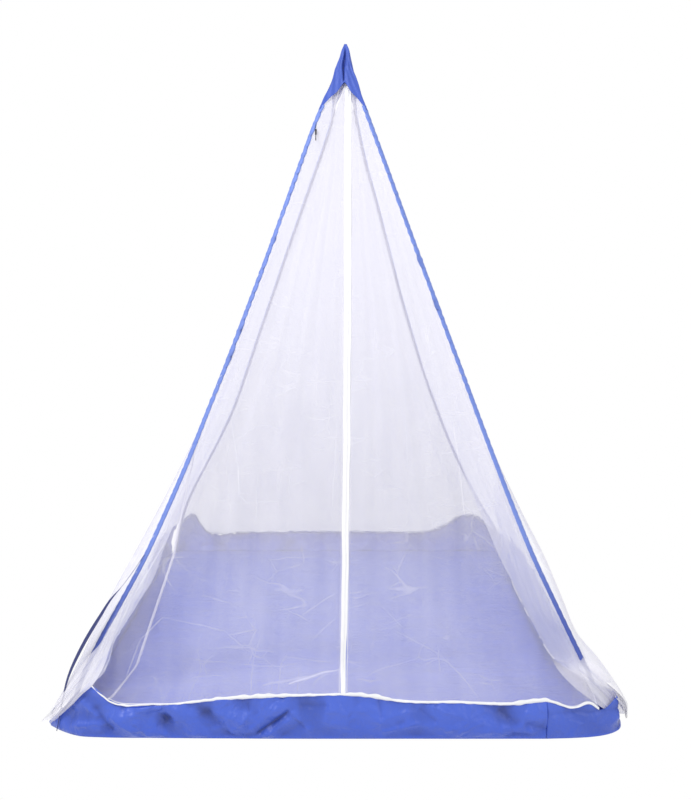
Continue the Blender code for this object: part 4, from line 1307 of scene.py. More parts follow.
@dataclass
class NetPanel:
    """One sheer net panel between two sleeves, or between a sleeve and the zip."""

    node: str
    start: Corner
    end: Corner
    stations: tuple[Station, ...]
    runs_along_x: bool
    swell: str = ""
    pleat: tuple[Pleat, ...] = ()
    gathers: float = 0.0
    gather_length: float = 0.085
    tuck: float = 0.0
    edge_folds: tuple[float, float] = (0.0, 0.0)
    fold_line: tuple[tuple[float, float], ...] = ((0.0, 0.08), (1.0, 0.08))
    bunched: float = 0.0
    belly: float = 0.0
    thin: tuple[float, float] = (0.0, 0.0)
    overlap: float = 0.0
    seed: float = 0.0
    rows: int = 210
    columns: int = 210
    base_columns: int = 160

    def wall(self) -> Wall:
        """The plain wall that the panel hangs over."""
        return Wall(self.node, self.stations, self.runs_along_x)

    def levels(self) -> np.ndarray:
        """The heights of the panel's level rows, from the cap down to just above the wall."""
        return column(POLE_ROWS[2:-1], "height")[::-1]

    def edges(self) -> tuple[np.ndarray, np.ndarray]:
        """The panel's two edges, a point for each level row."""
        return sleeve_edge(self.start, 1, self.levels()), sleeve_edge(self.end, -1, self.levels())

    def hem(self, shares: np.ndarray) -> np.ndarray:
        """The hem at these shares, just above the top edge of the wall."""
        tops = self.wall().top_line()
        tops[:, 2] += np.where(column(self.stations, "hang") > 0, 2, 1) * CLEAR
        tops = tops + tops * (0, 1, 0) * self.overlap * 0.5 - (0, 0, self.overlap)
        return along(tops, shares)

    def upper(self, start: np.ndarray, end: np.ndarray, shares: np.ndarray) -> np.ndarray:
        """The panel's top edge, which rises under the cap from both corners to the middle.

        Args:
            start: Its first point.
            end: Its last point.
            shares: Shares of the way along it.

        Returns:
            One point for each share.
        """
        heights = CAP_LEG_TOP + (NET_HEAD - CAP_LEG_TOP) * (1 - np.abs(2 * shares - 1))
        point = start + (end - start) * shares[:, None]
        spread = self.spread(heights)
        return np.stack([point[:, 0] * spread, point[:, 1] * spread, heights], axis=1)

    @staticmethod
    def spread(heights: np.ndarray) -> np.ndarray:
        """How far apart the poles are at these heights, as a share of where the cap's legs start."""
        table = column(POLE_ROWS, "height"), column(POLE_ROWS, "front_left")
        return np.interp(heights, *table) / np.interp(CAP_LEG_TOP, *table)

    def level_rows(self, shares: np.ndarray, hem: np.ndarray) -> np.ndarray:
        """The panel's rows at its level heights, between its edges, its top edge and its hem.

        Args:
            shares: Shares of the way along the panel.
            hem: The hem at these shares.

        Returns:
            Points in rows from the top down.
        """
        left, right = self.edges()
        upper = self.upper(left[0], right[0], shares)
        first, last = CAP_LEG_TOP, (hem[0, 2] + hem[-1, 2]) / 2
        raised = upper - (upper[0] + (upper[-1] - upper[0]) * shares[:, None])
        drawn = hem - (hem[0] + (hem[-1] - hem[0]) * shares[:, None])
        rows = []
        for level, begin, finish in zip(self.levels(), left, right):
            down = (first - level) / (first - last)
            line = begin + (finish - begin) * shares[:, None]
            rows.append(line + raised * (1 - down) + drawn * down**HEM_PULL)
        return np.array(rows)

    def swollen(self, rows: np.ndarray, hem: np.ndarray, shares: np.ndarray) -> np.ndarray:
        """The level rows, moved outwards beside the front corner where the net is slack.

        Args:
            rows: The level rows.
            hem: The hem at the same shares.
            shares: Shares of the way along the panel.

        Returns:
            The moved rows.
        """
        amount = np.interp(self.levels(), column(SWELLS, "height"), column(SWELLS, self.swell))
        away = (shares if self.swell == "right" else 1 - shares) * arc(hem)[-1] / SWELL_REACH
        bulge = np.where((away > 0) & (away < 1), np.sin(math.pi * np.sqrt(np.clip(away, 0, 1))), 0)
        low = np.interp(self.levels(), (0.1, 0.3, 0.6, 1.1), (0.8, 1.0, 1.0, 0.0))[:, None]
        push = amount[:, None] * bulge + self.belly * low * np.sin(math.pi * shares)[None, :] ** 0.6
        moved = rows.copy()
        moved[..., 0] += np.sign(rows[..., 0]) * push
        return moved

    def fallen(self, above: np.ndarray, hem: np.ndarray, shares: np.ndarray) -> np.ndarray:
        """The rows that take the slack net down outside the wall and back up to its hem.

        Args:
            above: The lowest of the level rows.
            hem: The hem at the same shares.
            shares: Shares of the way along the panel.

        Returns:
            Points in rows, from the first one below the level rows.
        """
        wall = self.wall()
        feet, tops = arc(wall.foot_line()), arc(wall.top_line())
        foot_shares = np.interp(shares, tops / tops[-1], feet / feet[-1])
        hang = np.clip(np.interp(shares, tops / tops[-1], column(self.stations, "hang")), 0, 1)
        turned = wall.feet(foot_shares) * (1, FALL_TURN, 0)
        away = turned / np.linalg.norm(turned, axis=1, keepdims=True)
        falls = smooth_step(hang / 0.12)[:, None]
        rows = []
        for fall in FALLS:
            ends = zip(foot_shares, 1 - hang * fall.down)
            beside = np.array([wall.surface(np.array([foot]), np.array([up]))[0, 0] for foot, up in ends])
            beside[:, 2] = np.maximum(beside[:, 2], NET_LOWEST)
            beside = beside + away * fall.out
            plain = above + (hem - above) * fall.straight + away * fall.out * FALL_BESIDE
            rows.append(beside * falls + plain * (1 - falls))
        return np.array(rows)

    def base(self) -> np.ndarray:
        """The smooth panel without its folds and gathers, in rows and columns."""
        shares = even(self.base_columns)
        hem = self.hem(shares)
        rows = self.level_rows(shares, hem)
        if self.swell:
            rows = self.swollen(rows, hem, shares)
            rows = np.concatenate([rows, self.fallen(rows[-1], hem, shares)])
        rows = np.concatenate([rows, hem[None]])
        steps = np.linalg.norm(np.diff(rows, axis=0), axis=2).mean(axis=1)
        knots = np.concatenate([[0.0], np.cumsum(np.maximum(steps, 0.004))])
        return spline(knots, rows, np.linspace(0, knots[-1], self.rows))

    def pleated(self, base: np.ndarray) -> tuple[np.ndarray, np.ndarray, np.ndarray]:
        """Lays the cloth in its doubled fold.

        Args:
            base: The smooth panel, in rows and columns.

        Returns:
            For each row and column of the finished panel: its share along the panel, its
            distance out, and how much it is folded.
        """
        cloth = even(self.columns)
        laid = np.repeat(cloth[None], len(base), axis=0)
        if not self.pleat:
            return laid, np.zeros_like(laid), np.zeros_like(laid)
        rising, heights = self.pleat[::-1], base[:, base.shape[1] // 2, 2]
        place = np.interp(heights, column(rising, "height"), column(rising, "place"))
        width = np.interp(heights, column(rising, "height"), column(rising, "width"), right=0.0)
        grown = smooth_step((rising[-1].height - heights) / 0.10)
        lines = base[..., 0 if self.runs_along_x else 1]
        centre = np.array([np.interp(at, line, even(len(line))) for at, line in zip(place, lines)])
        half = np.clip(width / np.maximum(np.abs(lines[:, -1] - lines[:, 0]), 0.05) / 2, 0.002, 0.06)
        middle = float(np.clip(centre[grown > 0.5].mean(), 0.08, 0.92))
        grown = grown * (width > 0.001)
        grip = 10 / self.columns
        turn = (cloth - middle + grip) / (2 * grip)
        inside = (turn >= 0) & (turn <= 1)
        for row in range(len(base)):
            held = min(max(centre[row], half[row] + 0.004), 0.996 - half[row])
            start, stop = held - half[row], held + half[row]
            strength = 0.94 * grown[row]
            swing = -np.cos(3 * math.pi * turn) * strength + (2 * turn - 1) * (1 - strength)
            line = np.interp(cloth, (0, middle - grip, middle + grip, 1), (0, start, stop, 1))
            laid[row] = np.where(inside, (start + stop) / 2 + swing * (stop - start) / 2, line)
        settle = smooth_step(np.clip(1 - (turn - 1) / 1.5, 0, 1))
        lifted = np.where(inside, turn, np.where(turn > 1, settle, 0))
        return laid, 0.006 * grown[:, None] * lifted, 0.10 * grown[:, None] * inside

    def gathered(self, out: np.ndarray, tall: np.ndarray, span: np.ndarray) -> np.ndarray:
        """How far the cloth stands out in all, with the panel's gathers and its slackness.

        Args:
            out: How far its pleats stand out.
            tall: Each point's height.
            span: The panel's width at each row.

        Returns:
            One distance for each point.
        """
        cloth = even(self.columns)[None, :]
        level = cloth * span.max()
        edge = smooth_step(np.minimum(cloth, 1 - cloth) / 0.03)
        drop = np.clip((2.3 - tall) / 2.1, 0, 1)
        hem_held = smooth_step(np.linspace(1, 0, self.rows)[:, None] / 0.03)
        pitch = self.gather_length
        wave = ripple(level + 0.035 * np.sin(2.2 * tall + self.seed), (
            (0.5, pitch, self.seed), (0.33, pitch * 0.61, 0.3 + self.seed),
            (0.25, pitch * 1.9, 0.7 * self.seed),
        ))
        bunch = cloth if self.bunched > 0 else 1 - cloth
        grip = 1 + abs(self.bunched) * (smooth_step((bunch - 0.55) / 0.4) - 1)
        grip = grip * (0.25 + 0.75 * smooth_step((tall - 0.10) / 0.22)) if self.swell else grip
        tucked = (wave - self.tuck) * self.gathers * grip
        soft = ripple(tall + 0.3 * level, ((0.5, 0.61, self.seed), (0.5, 0.37, 0.2)))
        out = out + tucked * drop**0.8 * edge * (0.35 + 0.65 * hem_held)
        return out + 0.0025 * soft * edge * hem_held

    def dense(self, folded: np.ndarray, tall: np.ndarray, gaps: Sequence[np.ndarray]) -> np.ndarray:
        """How much the net is folded, with the folds beside its edges.

        Args:
            folded: How much its doubled fold and its seams fold it.
            tall: Each point's height.
            gaps: How far each point is from the panel's first and from its last edge.

        Returns:
            One share for each point.
        """
        table = np.array(self.fold_line)
        reach = np.interp(tall, table[:, 0], table[:, 1]) * (1 + 0.03 * np.sin(9 * tall + self.seed))
        for amount, gap in zip(self.edge_folds, gaps):
            fine = 0.86 + 0.14 * np.sin(math.tau * gap / 0.137 + 5 * tall) * np.sin(math.tau * gap / 0.061)
            inner = smooth_step((reach - gap) / 0.05)
            crisp = hump(reach - gap, 0.008, 0.012)
            folded = folded + amount * (fine * inner + 0.35 * crisp) * (reach > 0.004)
        return np.clip(folded, 0, 1)

    def build(self) -> bpy.types.Object:
        """Builds the panel with its folds and gathers."""
        base = self.base()
        normal = outward_normals(base)
        laid, out, folded = self.pleated(base)
        places = np.empty((self.rows, self.columns, 3))
        direction = np.empty_like(places)
        shares = even(self.base_columns)
        for row, axis in np.ndindex(self.rows, 3):
            places[row, :, axis] = np.interp(laid[row], shares, base[row, :, axis])
            direction[row, :, axis] = np.interp(laid[row], shares, normal[row, :, axis])
        tall = places[..., 2].copy()
        span = np.linalg.norm(base[:, -1] - base[:, 0], axis=1)[:, None]
        places = places + direction * self.gathered(out, tall, span)[..., None]
        places[..., 2] = np.maximum(places[..., 2], NET_LOWEST)
        fall = np.linalg.norm(np.diff(places, axis=0), axis=2)
        below = np.concatenate([np.cumsum(fall[::-1], axis=0)[::-1], np.zeros((1, self.columns))])
        run = np.linalg.norm(np.diff(places, axis=1), axis=2)
        run = np.concatenate([np.zeros((self.rows, 1)), np.cumsum(run, axis=1)], axis=1)
        chart = (run - run[:, self.columns // 2, None], below)
        cloth = even(self.columns)
        seam = np.clip(1 - np.minimum(cloth, 1 - cloth) * span / 0.007, 0, 1) * 0.5
        gaps = (laid * span, (1 - laid) * span)
        sheer = np.zeros_like(folded)
        for amount, gap in zip(self.thin, gaps):
            sheer += amount * smooth_step((0.75 - tall) / 0.4) * smooth_step(1.1 - gap / 0.5)
        masks = {"folded": self.dense(np.maximum(folded, seam), tall, gaps), "sheer": sheer}
        return cloth_piece(f"{self.node}_cloth", places, chart, masks)


@dataclass
class CornerSlack:
    """The loose net bunched round the foot of a front pole, down to the wall's top edge."""

    name: str
    cuts: tuple[SlackRow, ...]
    bulge: float = 0.016
    veil: float = 0.5
    width: float = 0.12
    length: float = 0.30
    rows: int = 80
    columns: int = 60

    def build(self) -> bpy.types.Object:
        """Builds the bunched net, with folds that fan out downwards."""
        outer, inner = (along(column(self.cuts, end), even(self.rows)) for end in ("outer", "inner"))
        across, down = even(self.columns)[None, :], even(self.rows)[:, None]
        places = outer[:, None] + (inner - outer)[:, None] * across[..., None]
        fan = across + 0.05 * np.sin(5 * down + 9 * across)
        folds = np.sin(math.tau * fan * 3.5) * 0.6 + np.sin(math.tau * (fan * 7.3 + 0.4 * down)) * 0.4
        rise = smooth_step(down / 0.25) * smooth_step((1 - down) / 0.12)
        out = self.bulge * np.sin(math.pi * across) ** 0.7 * rise + 0.0022 * folds * rise
        places[..., 1] -= out
        places[..., 0] += np.sign(self.cuts[0].outer[0]) * out * 0.35
        # folded: the bunched net is denser, and through the net's bright colour also brighter, a painted
        # highlight strongest on the fold crests
        masks = {
            "folded": np.clip(0.30 + 0.10 * folds * rise, 0, 0.8),
            "sheer": 0.95 * smooth_step(1 - down / self.veil),
        }
        chart = (across * self.width, 0.05 + self.length * (1 - down))
        return cloth_piece(self.name, places, chart, masks)


def zip_line(levels: np.ndarray, hem: np.ndarray) -> np.ndarray:
    """The zip's centre line, a point for each level and one at the hem.

    Args:
        levels: The heights of the net's level rows, from the top down.
        hem: The front hem, as points along +X.

    Returns:
        The points from the top down.
    """
    left = sleeve_edge(Corner.FRONT_LEFT, 1, levels)
    right = sleeve_edge(Corner.FRONT_RIGHT, -1, levels)
    middle = (left + right) / 2
    head_y = middle[0, 1] * NetPanel.spread(NET_HEAD)
    foot = np.array([np.interp(ZIP_FOOT_X, hem[:, 0], hem[:, axis]) for axis in range(3)])
    down = (levels[0] - levels) / (levels[0] - foot[2])
    x = ZIP_HEAD_X + (ZIP_FOOT_X - ZIP_HEAD_X) * down**ZIP_DRIFT
    y = middle[:, 1] + (head_y - middle[0, 1]) * (1 - down)
    z = NET_HEAD + (foot[2] - NET_HEAD) * down
    return np.concatenate([np.stack([x, y, z], axis=1), foot[None]])


@dataclass
class FrontNet(NetPanel):
    """One half of the front, between a front sleeve and the zip."""

    left_half: bool = True

    def whole_hem(self, shares: np.ndarray) -> np.ndarray:
        """The whole front hem, from the left corner to the right one."""
        return NetPanel.hem(self, shares)

    def centre(self) -> np.ndarray:
        """The zip's centre line."""
        return zip_line(self.levels(), self.whole_hem(FINE))

    def edges(self) -> tuple[np.ndarray, np.ndarray]:
        """The sleeve's edge and the zip's edge, in the order in which the panel runs along X."""
        if self.left_half:
            return sleeve_edge(self.start, 1, self.levels()), self.centre()[:-1] - (ZIP_SEAM, 0, 0)
        return self.centre()[:-1] + (ZIP_SEAM, 0, 0), sleeve_edge(self.end, -1, self.levels())

    def hem(self, shares: np.ndarray) -> np.ndarray:
        """This half's part of the front hem."""
        stop = ZIP_FOOT_X + (-ZIP_SEAM if self.left_half else ZIP_SEAM)
        split = float(np.interp(stop, self.whole_hem(FINE)[:, 0], FINE))
        return self.whole_hem(shares * split if self.left_half else split + (1 - split) * shares)

    def upper(self, start: np.ndarray, end: np.ndarray, shares: np.ndarray) -> np.ndarray:
        """The panel's top edge, straight between its two edges."""
        return start + (end - start) * shares[:, None]


@dataclass
class FrontHem:
    """The bright rolled hem of the front net, along the top of the wall."""

    laps: tuple[Lap, ...] = HEM_LAPS
    fullness: float = 1.25
    sunk: float = 0.35  # how far it reaches below the net's hem line, as a share of its height
    thickness: float = 0.0008
    rows: int = 9
    columns: int = 420

    def build(self, net: FrontNet) -> bpy.types.Object:
        """Builds the hem along the front net's own hem line."""
        line = net.whole_hem(even(self.columns))
        length = arc(line)
        uneven = 1 + ripple(length, ((0.14, 0.047, 0.1), (0.12, 0.083, 0.5)))
        lap = np.interp(line[:, 0], column(self.laps, "x"), column(self.laps, "height"))
        tall = self.fullness * lap * uneven
        turns = np.linspace(-self.sunk, 1.0, self.rows)
        out = ripple(length, ((0.0008, 0.061, 0.2), (0.0007, 0.037, 0.6)))
        places = np.repeat(line[None], len(turns), axis=0)
        for row, turn in enumerate(turns):
            roll = math.sin(math.pi * (turn + self.sunk) / (1 + self.sunk))
            places[row, :, 2] += tall * turn - 0.001
            places[row, :, 1] += -0.0025 - 0.003 * roll + out
        chart = (length, turns[:, None] * tall)
        return cloth_piece("net_front_hem", places, chart, thickness=self.thickness)


# ---------------------------------------------------------------- zip, cap, strap and pull


@dataclass
class Zip:
    """The white zip down the front: its tape and its coil of teeth."""

    pitch: float = 0.0032
    tooth: Triple = (0.0058, 0.0020, 0.0016)
    tooth_bevel: float = 0.0004
    tooth_lean: float = 0.0007
    proud: float = 0.0034
    rows: int = 260
    columns: int = 13

    def line(self, net: FrontNet, shares: np.ndarray) -> np.ndarray:
        """Points down the zip's middle, slightly wavy as the net pulls it."""
        points = along(net.centre(), shares)
        tall = points[:, 2]
        points[:, 0] += ripple(tall, ((0.0011, 0.47, 0.2), (0.0007, 0.21, 0.6)))
        points[:, 1] += ripple(tall, ((0.0012, 0.33, 0.1),))
        return points

    def build_tape(self, net: FrontNet) -> bpy.types.Object:
        """Builds the tape, with a low ridge where the teeth are."""
        points = self.line(net, even(self.rows))
        width = ZIP_WIDTH * np.interp(points[:, 2], [0.15, 0.5, 1.2, 2.4], [0.68, 0.95, 1.0, 1.0])
        across = np.linspace(-0.5, 0.5, self.columns)
        places = np.repeat(points[:, None], len(across), axis=1)
        beside, length = width[:, None] * across, arc(points)[:, None]
        places[..., 0] += beside
        curl = ripple(length + 0.02 * across, ((0.0006, 0.12, 0.1),)) * np.abs(across)
        places[..., 1] -= hump(across, 0.13) * 0.0012 + 0.0012 + curl
        return cloth_piece("zip_tape_cloth", places, (beside, length), thickness=CLOTH)

    def build_teeth(self, net: FrontNet) -> bpy.types.Object:
        """Builds the coil of teeth down the middle of the tape."""
        fine = self.line(net, even(900))
        length = arc(fine)
        mesh = bmesh.new()
        tooth = bmesh.ops.create_cube(mesh, size=1)["verts"]
        bmesh.ops.scale(mesh, vec=self.tooth, verts=tooth)
        bmesh.ops.bevel(
            mesh, geom=list(mesh.edges), offset=self.tooth_bevel, segments=1, profile=0.5, affect="EDGES",
            material=-1,
        )
        single = bpy.data.meshes.new("tooth")
        mesh.to_mesh(single)
        mesh.clear()
        for index in range(int(length[-1] / self.pitch) - 2):
            at = (index + 1.5) * self.pitch
            place = Vector([float(np.interp(at, length, fine[:, axis])) for axis in range(3)])
            known = len(mesh.verts)
            mesh.from_mesh(single)
            mesh.verts.ensure_lookup_table()
            step = Vector((self.tooth_lean if index % 2 else -self.tooth_lean, -self.proud, 0))
            bmesh.ops.translate(mesh, vec=place + step, verts=mesh.verts[known:])
        return put_in_scene("zip_teeth", store(mesh, bpy.data.meshes.new("zip_teeth"), smooth=False))


@dataclass
class PeakCap:
    """The blue cap over the pole tops, with a deep pleat down its front."""

    rows: int = 80
    columns: int = 40
    pleat_depth: float = 0.011
    pleat_at: float = 0.47
    lip: float = 0.003
    fullness: float = 0.011
    fullest: float = 2.460

    def corner(self, corner: Corner, heights: np.ndarray) -> np.ndarray:
        """One corner of the cap: round the pole below, drawn in to the tip above.

        Args:
            corner: Which corner.
            heights: Where to read it.

        Returns:
            One point for each height.
        """
        step = np.array([math.copysign(1, corner.value[0]), math.copysign(1, corner.value[1]), 0.0])
        joint = CAP_ROWS[0]
        reach = spline(column(CAP_ROWS, "height"), column(CAP_ROWS, "reach"), heights)
        upper = step * reach[:, None] + heights[:, None] * (0, 0, 1)
        beside = pole_line(corner, np.minimum(heights, CAP_LEG_TOP)) + step * CAP_STANDOFF
        share = np.clip((heights - CAP_LEG_TOP) / (joint.height - CAP_LEG_TOP), 0, 1)[:, None]
        lower = beside * (1 - share) + step * joint.reach * share
        lower[:, 2] = heights
        places = np.where((heights >= joint.height)[:, None], upper, lower)
        if corner is Corner.FRONT_LEFT:
            places[:, 0] -= self.fullness * hump(heights, 0.040, self.fullest)
        return places

    def pleat(self, beside: np.ndarray, heights: np.ndarray) -> tuple[np.ndarray, np.ndarray]:
        """The front pleat.

        Args:
            beside: How far each point is from the pleat's middle.
            heights: The points' heights.

        Returns:
            How far each point stands out, and how deep in the pleat it lies, from 0 to 1.
        """
        groove = smooth_step(1 - np.abs(beside) / (0.0050 + 0.0075 * hump(heights, 0.030, 2.478)))
        lips = hump(np.abs(beside), 0.008, 0.016)
        reach = smooth_step((heights - 2.395) / 0.02) * smooth_step((PEAK - heights) / 0.05)
        return (self.lip * lips - self.pleat_depth * groove) * reach, groove * reach

    def build(self) -> bpy.types.Object:
        """Builds the cap's four sides as one closed ring of cloth."""
        order = (Corner.FRONT_LEFT, Corner.FRONT_RIGHT, Corner.BACK_RIGHT, Corner.BACK_LEFT)
        places, valley = [], []
        for step in range(4 * self.columns):
            side, share = step // self.columns, even(self.columns + 1)[step % self.columns]
            edge = spline(column(CAP_EDGES, "along"), column(CAP_EDGES, "height"), np.array([share]))[0]
            heights = PEAK + (edge - PEAK) * even(self.rows)
            start, end = (self.corner(order[index % 4], heights) for index in (side, side + 1))
            run = end - start
            run /= np.linalg.norm(run, axis=1, keepdims=True)
            out = np.stack([run[:, 1], -run[:, 0], 0 * heights], axis=1)
            grown = smooth_step((PEAK - heights) / 0.05)
            bulge = (0.001 if side else 0.004) * 4 * share * (1 - share) * grown
            if side:
                ruck, deep = 0.002 * np.sin(9 * share + 40 * heights) * grown, 0 * heights
            else:
                beside = (share - self.pleat_at) * np.linalg.norm(end - start, axis=1)
                ruck, deep = self.pleat(beside, heights)
            bulge = bulge + ruck
            soft = 0.0013 * np.sin(31 * share + 55 * heights) * smooth_step((PEAK - heights) / 0.08)
            places.append(start + (end - start) * share + out * (bulge + soft)[:, None])
            valley.append(deep)
        grid, deep = np.stack([*places, places[0]], axis=1), np.stack([*valley, valley[0]], axis=1)
        chart = (np.linspace(0, 0.5, grid.shape[1]), np.linspace(0.25, 0, self.rows)[:, None])
        # painted shade: the valley mask darkens the pleat's groove
        piece = cloth_piece("peak_cap_cloth", grid, chart, {"valley": deep}, CLOTH, tube=True)
        mesh = bmesh.new()
        mesh.from_mesh(piece.data)
        tip = [edge for edge in mesh.edges if edge.is_boundary and edge.verts[0].co.z > PEAK - 0.001]
        bmesh.ops.holes_fill(mesh, edges=tip, sides=0)
        store(mesh, piece.data)
        return piece


@dataclass
class CornerStrap:
    """The loose dark strap outside the front left sleeve."""

    thickness: float = 0.0012
    rows: int = 90
    columns: int = 9

    def build(self) -> bpy.types.Object:
        """Builds the strap, slightly curled across its width."""
        known = column(STRAP_ROWS, "height")
        heights = np.linspace(known[-1], known[0], self.rows)
        out, width = (spline(known, column(STRAP_ROWS, name), heights) for name in ("out", "width"))
        outwards = lean(Corner.FRONT_LEFT)
        centre = pole_line(Corner.FRONT_LEFT, heights) + outwards * out[:, None]
        across = np.linspace(-0.5, 0.5, self.columns)
        beside = width[:, None] * across
        places = centre[:, None] + sideways(Corner.FRONT_LEFT) * beside[..., None]
        curl = 0.0012 * np.cos(math.pi * across) * np.sin(14 * heights)[:, None]
        places = places + outwards * curl[..., None]
        chart = (beside, arc(centre)[:, None])
        return cloth_piece("corner_strap_cloth", places, chart, {"valley": 0.0}, self.thickness)


@dataclass
class Pull:
    """The small black pull on its thin cord, lying down the slope of the net."""

    height: float = 2.222
    slope: float = 0.49
    offset: Triple = (0.006, -0.0106, 0.0)
    steps: int = 24
    profile: tuple[tuple[float, float], ...] = (
        (0.0000, 0.0000), (0.0003, 0.0010), (0.0210, 0.0010), (0.0225, 0.0016), (0.0232, 0.0030),
        (0.0250, 0.0038), (0.0300, 0.0036), (0.0355, 0.0033), (0.0410, 0.0036), (0.0460, 0.0038),
        (0.0478, 0.0030), (0.0486, 0.0017), (0.0560, 0.0014), (0.0640, 0.0020), (0.0700, 0.0022),
        (0.0745, 0.0015), (0.0760, 0.0000),
    )

    def build(self) -> bpy.types.Object:
        """Builds the pull as one turned piece."""
        mesh = bmesh.new()
        line = [mesh.verts.new((radius, 0, -down)) for down, radius in self.profile]
        edges = [mesh.edges.new(pair) for pair in zip(line, line[1:])]
        bmesh.ops.spin(
            mesh, geom=line + edges, cent=(0, 0, 0), axis=(0, 0, 1), angle=math.tau, steps=self.steps,
            use_merge=True,
        )
        bmesh.ops.remove_doubles(mesh, verts=mesh.verts, dist=1e-6)
        bmesh.ops.recalc_face_normals(mesh, faces=mesh.faces)
        down = Vector((0, -self.slope, -1)).normalized()
        turn = Vector((0, 0, -1)).rotation_difference(down).to_matrix()
        bmesh.ops.rotate(mesh, cent=(0, 0, 0), matrix=turn, verts=mesh.verts)
        start = Vector(pole_line(Corner.FRONT_LEFT, [self.height])[0]) + Vector(self.offset)
        bmesh.ops.translate(mesh, vec=start, verts=mesh.verts)
        return put_in_scene("pull_toggle_turned", store(mesh, bpy.data.meshes.new("pull_toggle_turned")))


# ---------------------------------------------------------------- studio


@dataclass
class Studio:
    """A plain pale floor, soft light from all round, and the camera."""

    eye: Triple = (0.0, -4.052, 1.7706)
    pitch: float = 10.04
    lens: float = 41.61
    sky: float = 0.72
    floor: float = -0.0005
    aim: Triple = (0, 0, 0.8)

    def build(self) -> None:
        """Adds the floor, the world light, the lamps and the camera."""
        scene = bpy.context.scene
        mesh = bmesh.new()
        bmesh.ops.create_grid(mesh, x_segments=1, y_segments=1, size=30)
        floor = put_in_scene("studio_floor", store(mesh, bpy.data.meshes.new("studio_floor"), smooth=False))
        floor.location.z = self.floor
        look = bpy.data.materials.new("studio_white")
        look.use_nodes = True
        for label, value in (
            ("Base Color", (0, 0, 0, 1)), ("Roughness", 1.0), ("Specular IOR Level", 0.0),
            ("Emission Color", (1, 1, 1, 1)), ("Emission Strength", 1.0),
        ):
            look.node_tree.nodes["Principled BSDF"].inputs[label].default_value = value
        floor.data.materials.append(look)
        scene.world = bpy.data.worlds.new("studio")
        scene.world.use_nodes = True
        wiring = Wiring(scene.world.node_tree)
        seen = wiring.add("LightPath").outputs["Is Camera Ray"]
        strength = wiring.maths("MULTIPLY_ADD", seen, 1 - self.sky, self.sky)
        light = wiring.add("Background", {"Strength": strength, "Color": (1, 1, 1, 1)})
        wiring.add("OutputWorld", {"Surface": light.outputs[0]})
        self.add_lamp("key", (-2.2, -2.6, 4.4), 1.3, 102)
        self.add_lamp("fill", (3.0, -3.4, 2.4), 2.0, 24)
        camera = bpy.data.cameras.new("camera")
        camera.lens = self.lens
        camera.sensor_width = 36
        scene.camera = put_in_scene("camera", camera)
        scene.camera.location = self.eye
        scene.camera.rotation_euler = (math.radians(90 - self.pitch), 0, 0)
        scene.view_settings.view_transform = "Standard"
        scene.cycles.transparent_max_bounces = 32

    def add_lamp(self, name: str, place: Triple, size: float, power: float) -> None:
        """Adds a soft square lamp that points at the middle of the net."""
        lamp = bpy.data.lights.new(name, "AREA")
        lamp.size = size
        lamp.energy = power
        holder = put_in_scene(name, lamp)
        holder.location = place
        aim = Vector(self.aim) - Vector(place)
        holder.rotation_euler = aim.to_track_quat("-Z", "Y").to_euler()


# ---------------------------------------------------------------- the whole net


def build_walls(groups: Groups) -> None:
    """Builds the four walls and the ground sheet between them."""
    # painted shade: the front and side walls are darker at their foot than at their top; the back wall's
    # nylon is lighter at its foot
    look = NylonFinish("wall_nylon", (0.046, 0.106, 0.58), (0.062, 0.128, 0.62), 0.0, 0.12, crumple=0.014,
                       roughness=0.38, specular=0.55).make(groups)
    back_look = NylonFinish("back_wall_nylon", (0.066, 0.144, 0.76), (0.060, 0.124, 0.60), 0.02, 0.13,
                            crumple=0.010, roughness=0.38, specular=0.55).make(groups)
    walls = (
        Wall("wall_front", FRONT_WALL, True, FRONT_CREASES, seed=3, crumple=0.020, calm_from=-0.32,
             columns=600, rows=34),
        Wall("wall_right", RIGHT_WALL, False, RIGHT_CREASES, seed=5),
        Wall("wall_back", BACK_WALL, True, BACK_CREASES, seed=8, crumple=0.005, edge_dark=0.40),
        Wall("wall_left", LEFT_WALL, False, LEFT_CREASES, seed=13),
    )
    for wall in walls:
        fit_piece(wall.build(), "wall_blue", back_look if wall.node == "wall_back" else look, wall.node)
    # the ground's rucks are raised ridges, with a painted highlight along their lines
    ground = NylonFinish("ground_nylon", (0.060, 0.140, 0.78), (0.060, 0.140, 0.78), crumple=0.008,
                         specular=0.2, sheen=0.0, rucks=0.010)
    fit_piece(GroundSheet(walls).build(), "ground_blue", ground.make(groups), "floor_sheet")


def build_sleeves(groups: Groups) -> None:
    """Builds the four sleeves; the back ones are narrower, and pale inside."""
    # painted shade: the sleeves are darker near the ground than high up
    painted_shade_by_height = ((0.060, 0.100, 0.42), (0.165, 0.250, 0.67), 0.30, 0.70)
    look = NylonFinish("sleeve_nylon", *painted_shade_by_height, crumple=0.0015).make(groups)
    back_look = NylonFinish(
        "back_sleeve_nylon", *painted_shade_by_height, crumple=0.0015, pale=(0.42, 0.41, 0.49)
    ).make(groups)
    for corner in Corner:
        front = corner in (Corner.FRONT_LEFT, Corner.FRONT_RIGHT)
        side = 1 if corner in (Corner.FRONT_LEFT, Corner.BACK_RIGHT) else -1
        half_width = SLEEVE_HALF_WIDTH if front else BACK_SLEEVE_HALF_WIDTH
        sleeve = Sleeve(corner, side, half_width, SLEEVE_PATCHES.get(corner, ()))
        node = f"sleeve_{corner.name.lower()}"
        fit_piece(sleeve.build(), "sleeve_blue", look if front else back_look, node)


